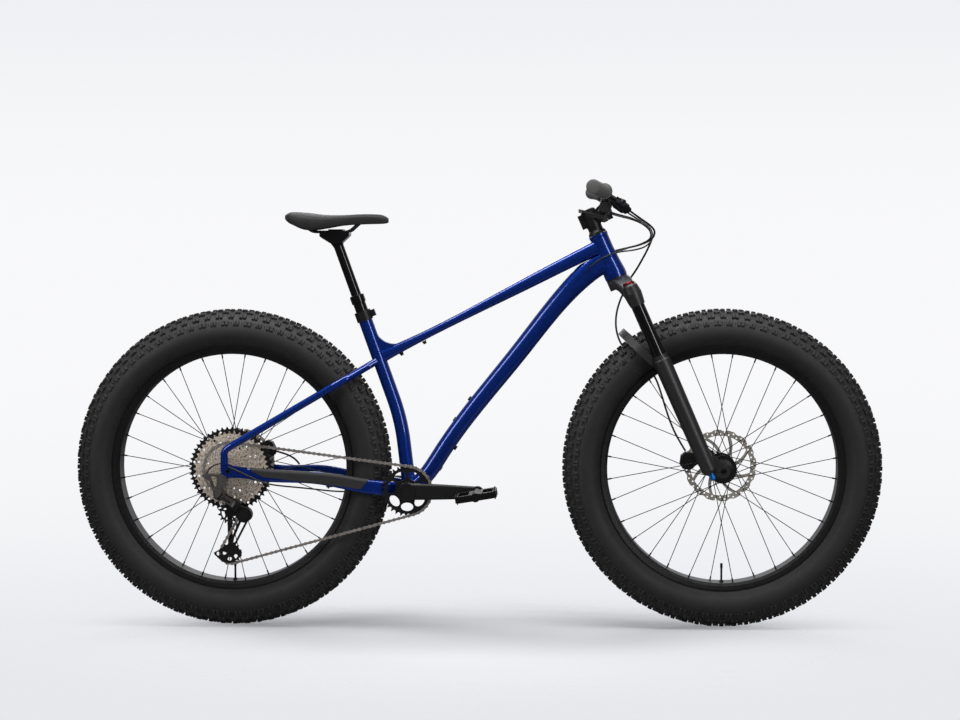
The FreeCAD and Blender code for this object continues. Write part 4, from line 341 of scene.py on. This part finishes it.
# which finish each carried-over node takes
dress = {
    "bluePaint": ["head_tube", "top_tube", "down_tube", "seat_tube", "bottom_bracket_shell", "chain_stays",
                  "seat_stays"],
    "rimBlack": ["front_rim", "rear_rim"],
    "spokeBlack": ["front_spokes", "rear_spokes"],
    "alloyBlack": ["front_hub", "rear_hub", "frame_bearings", "rear_axle", "front_axle", "rear_caliper",
                   "front_caliper", "headset_spacers", "stem", "handlebar", "brake_masters", "seat_clamp",
                   "right_brake_lever", "left_brake_lever", "derailleur_cage", "derailleur_clutch_body",
                   "inner_link", "saddle_rails"],
    "crankBlack": ["right_crank", "left_crank", "chainring"],
    "pedalGrey": ["right_pedal", "left_pedal"],
    "linkGrey": ["outer_link", "derailleur_knuckle"],
    "lowersBlack": ["fork_lowers"],
    "crownGrey": ["fork_crown"],
    "tubeGloss": ["stanchions", "seatpost_outer", "seatpost_inner"],
    "frontDisc": ["front_rotor"],
    "rearDisc": ["rear_rotor"],
    "cogNickel": ["cassette"],
    "chainSteel": ["chain"],
    "guardGrey": ["chainstay_guard"],
    "blackPlastic": ["shifter_body", "thumb_lever", "release_lever", "dropper_lever", "guide_pulley",
                     "tension_pulley"],
    "redDial": ["compression_knob"],
    "blueDial": ["rebound_knob"],
}


# the largest cog lies inside this plane across the axle, in metres
largestCogPlane = -0.0552

# threaded inserts of the down tube, in metres: middle of the open end, and the way it faces
inserts = {"radius": 0.0066, "rise": 0.0033,
           "ends": [((-0.01988, 0, 0.56974), (-0.8098, 0, 0.5867)), ((-0.0574, 0, 0.51796), (-0.8098, 0, 0.5867)),
                    ((-0.05091, 0, 0.44288), (0.8098, 0, -0.5867)), ((-0.08846, 0, 0.39106), (0.8098, 0, -0.5867))]}


def onInsert(spot):
    for end, facing in inserts["ends"]:
        offset = spot - Vector(end)
        height = offset.dot(Vector(facing))
        aside = (offset - Vector(facing) * height).length
        if aside < inserts["radius"] and -inserts["rise"] < height < 0.001:
            return True
    return False


def dressNodes():
    for finish, nodes in dress.items():
        for node in nodes:
            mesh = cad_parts[node].data
            mesh.materials.clear()
            mesh.materials.append(finishes[finish])
    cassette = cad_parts["cassette"].data
    cassette.materials.append(finishes["cogBlack"])
    for face in cassette.polygons:
        face.material_index = 1 if face.center.y > largestCogPlane else 0
    # the threaded inserts in the down tube are black
    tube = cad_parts["down_tube"].data
    tube.materials.append(finishes["alloyBlack"])
    for face in tube.polygons:
        face.material_index = 1 if onInsert(face.center) else 0


dressNodes()
print("nodes dressed")


def newPiece(name, points, faces, finish, place=(0, 0, 0)):
    mesh = bpy.data.meshes.new(name)
    mesh.from_pydata(points, [], faces)
    mesh.update()
    mesh.shade_smooth()
    mesh.materials.append(finishes[finish])
    piece = bpy.data.objects.new(name, mesh)
    piece.location = place
    bpy.context.scene.collection.objects.link(piece)
    return piece


def ringFaces(rings, count, closed=True):
    # quads between rings of points; closed rows run round, and the last ring meets the first
    faces = []
    for k in range(rings if closed else rings - 1):
        following = (k + 1) % rings
        for j in range(count):
            ahead = (j + 1) % count
            faces.append((k * count + j, k * count + ahead, following * count + ahead, following * count + j))
    return faces


def arcPoints(first, middle, last, count):
    # points on the circle through three points of a profile
    (ax, ay), (bx, by), (cx, cy) = first, middle, last
    d = 2 * (ax * (by - cy) + bx * (cy - ay) + cx * (ay - by))
    ux = ((ax**2 + ay**2) * (by - cy) + (bx**2 + by**2) * (cy - ay) + (cx**2 + cy**2) * (ay - by)) / d
    uy = ((ax**2 + ay**2) * (cx - bx) + (bx**2 + by**2) * (ax - cx) + (cx**2 + cy**2) * (bx - ax)) / d
    start = math.atan2(ay - uy, ax - ux)
    sweep = (math.atan2(cy - uy, cx - ux) - start) % (2 * math.pi)
    inside = (math.atan2(by - uy, bx - ux) - start) % (2 * math.pi)
    if inside > sweep:
        sweep -= 2 * math.pi
    r = math.hypot(ax - ux, ay - uy)
    angles = [start + sweep * k / (count - 1) for k in range(count)]
    return [(ux + r * math.cos(a), uy + r * math.sin(a)) for a in angles]


# tire casing and its blocks, in millimetres about the axle
tire = {"waist": 335.5, "rise": 54.4, "bulge": 56.5, "lip": (302.5, 36.2), "bead": (294.4, 34.8),
        "shoulder": (366.0, 45.0), "crown": 390.0, "turns": 160, "pitches": 80, "sipe": 1.3,
        "longBlock": 1.1, "shortBlock": 0.88,
        "inside": [(294.4, -30.0), (306.0, -32.0), (335.0, -53.2), (364.0, -42.0), (386.8, 0.0), (364.0, 42.0),
                   (335.0, 53.2), (306.0, 32.0), (294.4, 30.0)]}
# lean of the row, length, width, height, step in pitches, sipes
treadRows = [(62.0, 16.5, 13.0, 4.8, 0.0, 1), (41.0, 15.5, 11.5, 5.2, 0.5, 1), (22.0, 14.0, 10.5, 5.6, 0.0, 1),
             (7.0, 13.0, 9.5, 5.9, 0.5, 0)]


def treadBlock(points, faces, lean, along, length, width, height, taper):
    # a block with a chamfered top that follows the round of the casing
    base = len(points)
    rise = tire["rise"]
    levels = [(-1.5, 1.0), (height - 0.8, taper), (height, taper - 1.6 / min(length, width))]
    for level, share in levels:
        for u, v in ((-1, -1), (1, -1), (1, 1), (-1, 1)):
            tilt = lean + v * share * width / 2 / rise
            radius = tire["waist"] + (rise + level) * math.cos(tilt)
            turn = along + u * share * length / 2 / (tire["waist"] + rise * math.cos(lean))
            points.append((radius * math.cos(turn), (rise + level) * math.sin(tilt), radius * math.sin(turn)))
    for low in (base, base + 4):
        for j in range(4):
            k = (j + 1) % 4
            faces.append((low + j, low + k, low + 4 + k, low + 4 + j))
    faces.append((base + 8, base + 9, base + 10, base + 11))


def makeTire():
    points = []
    faces = []
    half = arcPoints(tire["lip"], (tire["waist"], tire["bulge"]), tire["shoulder"], 12)
    over = arcPoints(tire["shoulder"], (tire["crown"], 0.0), (tire["shoulder"][0], -tire["shoulder"][1]), 17)
    outer = [tire["bead"]] + half + over[1:-1] + [(r, -y) for r, y in reversed(half)]
    outer.append((tire["bead"][0], -tire["bead"][1]))
    profile = outer + tire["inside"]
    for k in range(tire["turns"]):
        turn = 2 * math.pi * k / tire["turns"]
        points += [(r * math.cos(turn), y, r * math.sin(turn)) for r, y in profile]
    faces += ringFaces(tire["turns"], len(profile))
    step = 2 * math.pi / tire["pitches"]
    for lean, length, width, height, shift, sipes in treadRows:
        for side in (1, -1):
            for k in range(tire["pitches"]):
                long = k % 2 == 0
                along = (k + shift + (0.5 if side < 0 else 0.0)) * step
                size = length * (tire["longBlock"] if long else tire["shortBlock"])
                tilt = math.radians(side * lean)
                if sipes:
                    gap = tire["sipe"] / (tire["waist"] + tire["rise"] * math.cos(tilt))
                    part = size / 2 - tire["sipe"] / 2
                    for way in (-1, 1):
                        shiftBy = way * (gap / 2 + part / 2 / (tire["waist"] + tire["rise"] * math.cos(tilt)))
                        treadBlock(points, faces, tilt, along + shiftBy, part, width, height, 0.9)
                else:
                    treadBlock(points, faces, tilt, along, size, width, height, 0.88)
                if lean > 60:
                    # thin ribs between the shoulder blocks, one or two in turn
                    for place in ((0.5,) if long else (0.42, 0.58)):
                        treadBlock(points, faces, tilt, along + place * step, 1.7, width - 3, 2.6, 0.85)
    scaled = [(x / 1000, y / 1000, z / 1000) for x, y, z in points]
    for end, body in (("front", "front_wheel"), ("rear", "rear_wheel")):
        piece = newPiece(end + "TireCover", scaled, faces, "tireRubber", wheelCentre[end])
        markEdges(piece, 35.0)
        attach(piece, body)
        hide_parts(end + "_tire")


def markEdges(piece, angle):
    # smooth shading that breaks at edges sharper than the angle
    piece.data.set_sharp_from_angle(angle=math.radians(angle))


makeTire()
print("tires made")


# saddle stations: place, half width, then heights of top, edge, wing and underside, in millimetres
saddle = {"stations": [(-472, 38, 1025.5, 1022.5, 1014, 1016.5), (-465, 52, 1030, 1024.5, 1008, 1013),
                       (-453, 62, 1033, 1024, 1001, 1010), (-417, 73, 1031, 1019, 987.5, 1008),
                       (-377, 58, 1026, 1016, 991, 1007), (-332, 34, 1025, 1018, 998, 1007),
                       (-282, 23, 1027, 1020, 1001, 1007), (-242, 19, 1026, 1019, 1002, 1007),
                       (-227, 15.5, 1022, 1016, 1003, 1007.5), (-219, 11, 1016.5, 1012.5, 1005.5, 1008)],
          "between": 7, "channel": 2.2}


def easedLine(rows, between):
    # a smooth line through the rows, read at even steps
    found = []
    for k in range(len(rows) - 1):
        before, here = rows[max(k - 1, 0)], rows[k]
        there, after = rows[k + 1], rows[min(k + 2, len(rows) - 1)]
        for j in range(between):
            t = j / between
            row = []
            for a, b, c, d in zip(before, here, there, after):
                row.append(b + 0.5 * t * (c - a + t * (2 * a - 5 * b + 4 * c - d + t * (3 * (b - c) + d - a))))
            found.append(tuple(row))
    return found + [tuple(rows[-1])]


def makeSaddle():
    points = []
    rows = easedLine(saddle["stations"], saddle["between"])
    for x, w, top, edge, wing, low in rows:
        dip = saddle["channel"] * min(1.0, w / 40)
        half = [(0.0, top - dip), (0.22 * w, top - 0.4 * dip), (0.48 * w, top - 0.15 * (top - edge)),
                (0.78 * w, edge + 0.45 * (top - edge)), (0.95 * w, edge), (w, 0.6 * edge + 0.4 * wing),
                (0.975 * w, wing + 2.5), (0.93 * w, wing), (0.86 * w, wing + 1.6), (0.6 * w, low - 2.0), (0.0, low)]
        ring = half + [(-y, z) for y, z in reversed(half[1:-1])]
        ring = easedLine(ring + ring[:1], 3)[:-1]
        points += [(x / 1000, y / 1000, z / 1000) for y, z in ring]
    count = len(points) // len(rows)
    faces = ringFaces(len(rows), count, closed=False)
    faces.append(tuple(range(count)))
    faces.append(tuple(reversed(range((len(rows) - 1) * count, len(rows) * count))))
    piece = newPiece("saddlePad", points, faces, "saddleCover")
    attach(piece, "seat")
    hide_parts("saddle")


makeSaddle()
print("saddle made")


# grips on the bar's ends, in millimetres: inner and outer points of the axis, and the radii along it
grip = {"start": (314.4, -262.3, 1076.6), "end": (286.3, -389.9, 1085.3), "sides": 48,
        "flange": 19.0, "barrel": 15.6, "ridge": 16.0, "lock": 16.8}


def gripProfile(length):
    line = [(0.0, 11.4), (0.0, grip["flange"] - 0.8), (0.8, grip["flange"]), (3.2, grip["flange"]),
            (4.2, grip["flange"] - 1.2), (5.2, grip["barrel"])]
    place = 7.0
    while place < length - 20:
        line += [(place, grip["barrel"] - 0.5), (place + 0.7, grip["ridge"]), (place + 2.3, grip["ridge"]),
                 (place + 3.0, grip["barrel"] - 0.5)]
        place += 3.6
    line += [(length - 13, grip["barrel"]), (length - 12.4, grip["lock"]), (length - 2.6, grip["lock"]),
             (length - 1.0, grip["lock"] - 1.2), (length, 13.0), (length, 0.0)]
    return line


def makeGrips():
    start = Vector(grip["start"])
    end = Vector(grip["end"])
    for side, name in ((1, "rightGripCover"), (-1, "leftGripCover")):
        a = Vector((start.x, side * start.y, start.z))
        b = Vector((end.x, side * end.y, end.z))
        along = (b - a).normalized()
        across = along.cross(Vector((0, 0, 1))).normalized()
        up = across.cross(along)
        points = []
        line = gripProfile((b - a).length)
        for place, radius in line:
            for j in range(grip["sides"]):
                turn = 2 * math.pi * j / grip["sides"]
                spot = a + along * place + (across * math.cos(turn) + up * math.sin(turn)) * radius
                points.append(tuple(spot / 1000))
        piece = newPiece(name, points, ringFaces(len(line), grip["sides"], closed=False), "gripRubber")
        markEdges(piece, 40.0)
        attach(piece, "steering")
        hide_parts("grips")


makeGrips()
print("grips made")


# hoses and housings, in metres: a piece with two bodies is baked in place and left unattached, and its bend, from one
# route point to another, is not read
hoses = {
    "rearBrakeHose": {
        "radius": 0.0025, "length": 0.269, "node": "control_cables", "bodies": ("steering", "frame"), "bend": (1, -2),
        "route": [(0.3734, -0.1657, 1.0335), (0.3885, -0.1453, 1.0224), (0.411, -0.105, 1.008),
                  (0.43, -0.076, 0.995), (0.441, -0.05, 0.981), (0.434, -0.029, 0.963), (0.408, -0.016, 0.95),
                  (0.376, -0.01, 0.9425), (0.3439, -0.008, 0.9348)]},
    "shiftHousing": {
        "radius": 0.002, "length": 0.295, "node": "control_cables", "bodies": ("steering", "frame"), "bend": (1, -2),
        "route": [(0.3198, -0.1714, 1.0359), (0.324, -0.147, 1.0315), (0.338, -0.134, 1.026), (0.36, -0.124, 1.02),
                  (0.384, -0.114, 1.014), (0.411, -0.095, 0.999), (0.429, -0.074, 0.983), (0.43, -0.049, 0.964),
                  (0.407, -0.028, 0.951), (0.375, -0.017, 0.942), (0.343, -0.0134, 0.9312)]},
    "postHousing": {
        "radius": 0.002, "length": 0.419, "node": "control_cables", "bodies": ("steering", "frame"), "bend": (1, -2),
        "route": [(0.3198, 0.1714, 1.0359), (0.324, 0.147, 1.0315), (0.338, 0.133, 1.026), (0.36, 0.122, 1.0195),
                  (0.384, 0.109, 1.014), (0.413, 0.084, 1.002), (0.433, 0.054, 0.984), (0.436, 0.02, 0.963),
                  (0.42, -0.012, 0.945), (0.39, -0.034, 0.936), (0.352, -0.043, 0.933), (0.316, -0.041, 0.92),
                  (0.294, -0.036, 0.906), (0.2792, -0.0281, 0.8932)]},
    "derailleurLoop": {
        "radius": 0.002, "length": 0.034, "node": "control_cables", "bodies": ("frame",),
        "route": [(-0.6269, -0.107, 0.415), (-0.636, -0.11, 0.413), (-0.647, -0.113, 0.4075),
                  (-0.6556, -0.115, 0.3995)]},
    "stayHousing": {
        "radius": 0.002, "length": 0.308, "node": "control_cables", "bodies": ("frame",),
        "route": [(-0.606, -0.1125, 0.407), (-0.585, -0.1135, 0.398), (-0.56, -0.1125, 0.386),
                  (-0.535, -0.109, 0.374), (-0.512, -0.102, 0.364), (-0.48, -0.095, 0.3585),
                  (-0.437, -0.0875, 0.354), (-0.39, -0.082, 0.3485), (-0.345, -0.0775, 0.343),
                  (-0.312, -0.0755, 0.3428)]},
    "rearHoseTail": {
        "radius": 0.0025, "length": 0.068, "node": "control_cables", "bodies": ("frame",),
        "route": [(-0.5137, 0.089, 0.4263), (-0.496, 0.09, 0.4216), (-0.476, 0.0908, 0.413), (-0.462, 0.09, 0.4025),
                  (-0.456, 0.0885, 0.3939)]},
    "frontBrakeHose": {
        "radius": 0.0025, "length": 0.76, "node": "front_brake_hose", "bodies": ("steering", "fork_lowers"),
        "bend": (7, 14),
        "route": [(0.3734, 0.1657, 1.0335), (0.3885, 0.1453, 1.0224), (0.411, 0.112, 1.008), (0.432, 0.094, 0.993),
                  (0.44, 0.088, 0.971), (0.429, 0.094, 0.943), (0.413, 0.102, 0.912), (0.397, 0.109, 0.884),
                  (0.3827, 0.115, 0.864), (0.3743, 0.118, 0.8407), (0.3605, 0.114, 0.8172), (0.3499, 0.103, 0.7865),
                  (0.3456, 0.088, 0.7562), (0.3485, 0.07, 0.727), (0.3595, 0.061, 0.6991), (0.3823, 0.072, 0.6719),
                  (0.4152, 0.089, 0.6513), (0.4449, 0.093, 0.6206), (0.4597, 0.088, 0.5791), (0.4733, 0.082, 0.5326),
                  (0.4885, 0.076, 0.4902), (0.5043, 0.07, 0.4589), (0.5212, 0.065, 0.4318)]},
}


def routeLine(name, route):
    # the smooth line of a route, read from a spline with the route's points as its control points
    curve = bpy.data.curves.new(name + "Line", "CURVE")
    curve.dimensions = "3D"
    curve.resolution_u = 10
    spline = curve.splines.new("NURBS")
    spline.points.add(len(route) - 1)
    for point, spot in zip(spline.points, route):
        point.co = (*spot, 1.0)
    spline.order_u = 3
    spline.use_endpoint_u = True
    carrier = bpy.data.objects.new(name + "Line", curve)
    line = bpy.data.meshes.new_from_object(carrier)
    points = [vertex.co.copy() for vertex in line.vertices]
    bpy.data.objects.remove(carrier)
    bpy.data.meshes.remove(line)
    bpy.data.curves.remove(curve)
    return points


def tubeAlong(name, line, radius, finish, sides=14):
    # rings carried along the line without twist, with closed ends
    points = []
    across = None
    for k, spot in enumerate(line):
        along = (line[min(k + 1, len(line) - 1)] - line[max(k - 1, 0)]).normalized()
        if across is None:
            across = along.cross(Vector((0.3, 0.2, 0.9)))
        across = (across - along * across.dot(along)).normalized()
        beside = along.cross(across)
        for j in range(sides):
            turn = 2 * math.pi * j / sides
            points.append(tuple(spot + (across * math.cos(turn) + beside * math.sin(turn)) * radius))
    faces = ringFaces(len(line), sides, closed=False)
    faces.append(tuple(reversed(range(sides))))
    faces.append(tuple(range(len(points) - sides, len(points))))
    return newPiece(name, points, faces, finish)


def makeHoses():
    for name, hose in hoses.items():
        line = routeLine(name, hose["route"])
        piece = tubeAlong(name, line, hose["radius"], "hoseBlack")
        markEdges(piece, 50.0)
        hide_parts(hose["node"])
        if len(hose["bodies"]) == 1:
            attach(piece, hose["bodies"][0])
        else:
            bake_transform(piece)


makeHoses()
print("hoses made:", len(hoses))


# bolts under the top tube: foot on the tube, the way they stand, and the head's profile in millimetres
tubeBolts = {"feet": [(-188.1, 0.0, 681.6), (-131.1, 0.0, 710.4)], "facing": (0.451, 0.0, -0.893), "sides": 30,
             "profile": [(-1.0, 5.6), (1.2, 5.6), (2.0, 4.9), (2.2, 4.3), (6.2, 4.3), (6.9, 3.6), (6.9, 2.2),
                         (4.2, 2.0), (4.2, 0.0)]}


def makeBolts():
    facing = Vector(tubeBolts["facing"])
    across = Vector((0, 1, 0))
    beside = facing.cross(across)
    for number, foot in enumerate(tubeBolts["feet"], 1):
        points = []
        for place, radius in tubeBolts["profile"]:
            for j in range(tubeBolts["sides"]):
                turn = 2 * math.pi * j / tubeBolts["sides"]
                spot = Vector(foot) + facing * place + (across * math.cos(turn) + beside * math.sin(turn)) * radius
                points.append(tuple(spot / 1000))
        faces = ringFaces(len(tubeBolts["profile"]), tubeBolts["sides"], closed=False)
        piece = newPiece(f"tubeBolt{number}", points, faces, "alloyBlack")
        markEdges(piece, 35.0)
        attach(piece, "frame")


makeBolts()
print("bolts made")


# the floor's two tones, pale and a painted shade, and the ways that its painted pool of shadow and its edge fade out:
# shift of the middle, squeeze across the bike, start and end, in metres
floorTone = {"pale": (0.5, 0.504, 0.52), "shade": (0.4, 0.402, 0.42), "reach": 6.0, "drop": 0.0005,
             "paintedShadow": (0.12, 9.0, 0.25, 1.05), "edge": (0.25, 2.5, 0.35, 1.25), "inMirror": 0.75}


def makeStage():
    scene = bpy.context.scene
    scene.view_settings.view_transform = "Standard"
    size = floorTone["reach"]
    mesh = bpy.data.meshes.new("floor")
    mesh.from_pydata([(-size, -size, 0), (size, -size, 0), (size, size, 0), (-size, size, 0)], [], [(0, 1, 2, 3)])
    floor = bpy.data.objects.new("floor", mesh)
    scene.collection.objects.link(floor)
    floor.location.z = cadBox[0].z - floorTone["drop"]
    f = Finish("floorPale", Roughness=0.9, Specular_IOR_Level=0.1)
    x = f.tap.node("SeparateXYZ", {}, {0: f.spot}, out="X")
    y = f.tap.node("SeparateXYZ", {}, {0: f.spot}, out="Y")

    def fading(shift, squeeze, start, end):
        far = f.tap.node("Math", {"operation": "SQRT"}, {0: x * x + (y + shift) * (y + shift) * squeeze})
        return f.tap.ease(far, start, end)

    # painted shadow: a soft pool of shade in the floor's colour along the wheels' line, where a wide lamp would leave
    # its shadow
    f.feed(Base_Color=f.mix(fading(*floorTone["paintedShadow"]), floorTone["shade"], floorTone["pale"]))
    fade = fading(*floorTone["edge"])
    # reflections show little of the floor, as in a studio with dark flags beside the set
    inMirror = f.tap.node("LightPath", out="Is Glossy Ray") * floorTone["inMirror"]
    share = f.tap.sum("MAXIMUM", fade, inMirror)
    clear = f.tap.node("BsdfTransparent")
    mixed = f.tap.node("MixShader", {}, {0: share, 1: Tap(f.tree, f.shader.outputs[0]), 2: clear})
    f.tree.links.new(mixed.socket, f.tree.nodes["Material Output"].inputs["Surface"])
    mesh.materials.append(f.material)


# the studio round the bike: its light, the backdrop that the camera sees and the tones that reflections show
studio = {"light": (0.97, 0.98, 1.0, 1.0), "level": 0.5, "backdrop": (0.94, 0.942, 0.955), "edge": (0.82, 0.83, 0.86),
          "low": (0.8, 0.81, 0.845), "front": (0.09, 0.09, 0.095), "rear": (0.5, 0.5, 0.52),
          "below": (0.06, 0.06, 0.065), "horizon": 0.03, "edgeFade": (0.03, 0.2), "lowFade": (-0.12, -0.2),
          "rearFade": (0.15, 0.8), "riseFade": (-0.2, 0.05)}


def makeWorld():
    world = bpy.data.worlds.new("studio")
    bpy.context.scene.world = world
    world.use_nodes = True
    tree = world.node_tree
    tree.nodes.clear()
    tap = Tap(tree)
    heading = tap.node("TexCoord", out="Generated")
    y = tap.node("SeparateXYZ", {}, {0: heading}, out="Y")
    z = tap.node("SeparateXYZ", {}, {0: heading}, out="Z")
    rays = ("Is Camera Ray", "Is Glossy Ray", "Is Transmission Ray")
    toCamera, inMirror, through = [tap.node("LightPath", out=name) for name in rays]
    away = tap.node("Math", {"operation": "ABSOLUTE"}, {0: z + studio["horizon"]})
    wall = tap.mix(tap.ease(away, *studio["edgeFade"]), studio["backdrop"], studio["edge"])
    pale = tap.mix(tap.ease(z, *studio["lowFade"]), wall, studio["low"])
    around = tap.mix(tap.ease(y, *studio["rearFade"]), studio["front"], studio["rear"])
    mirrored = tap.mix(tap.ease(z, *studio["riseFade"]), studio["below"], around)
    seen = tap.mix(toCamera, mirrored, pale)
    shown = toCamera + inMirror + through
    plain = tap.node("Background", {}, {"Color": studio["light"], "Strength": studio["level"]})
    drawn = tap.node("Background", {}, {"Color": seen, "Strength": 1.0})
    mixed = tap.node("MixShader", {}, {0: shown, 1: plain, 2: drawn})
    output = tree.nodes.new("ShaderNodeOutputWorld")
    tree.links.new(mixed.socket, output.inputs["Surface"])


# lamps: place, aim, size, watts
lamps = {"overhead": ((-0.1, -0.5, 3.4), (0.0, 0.0, 0.5), (3.6, 1.1), 130.0),
         "leftFront": ((-3.0, -2.6, 2.2), (-0.2, 0.0, 0.6), (1.2, 2.0), 60.0),
         "rightFront": ((2.6, -3.0, 1.7), (0.3, 0.0, 0.7), (0.7, 2.2), 45.0),
         "behind": ((0.4, 3.0, 2.4), (0.0, 0.0, 0.6), (3.0, 1.2), 45.0)}


def makeLamps():
    for name, (place, aim, size, watts) in lamps.items():
        data = bpy.data.lights.new(name, "AREA")
        data.shape = "RECTANGLE"
        data.size, data.size_y = size
        data.energy = watts
        lamp = bpy.data.objects.new(name, data)
        lamp.location = place
        lamp.rotation_euler = (Vector(aim) - Vector(place)).to_track_quat("-Z", "Y").to_euler()
        bpy.context.scene.collection.objects.link(lamp)


makeStage()
makeWorld()
makeLamps()
print("stage and lamps set")
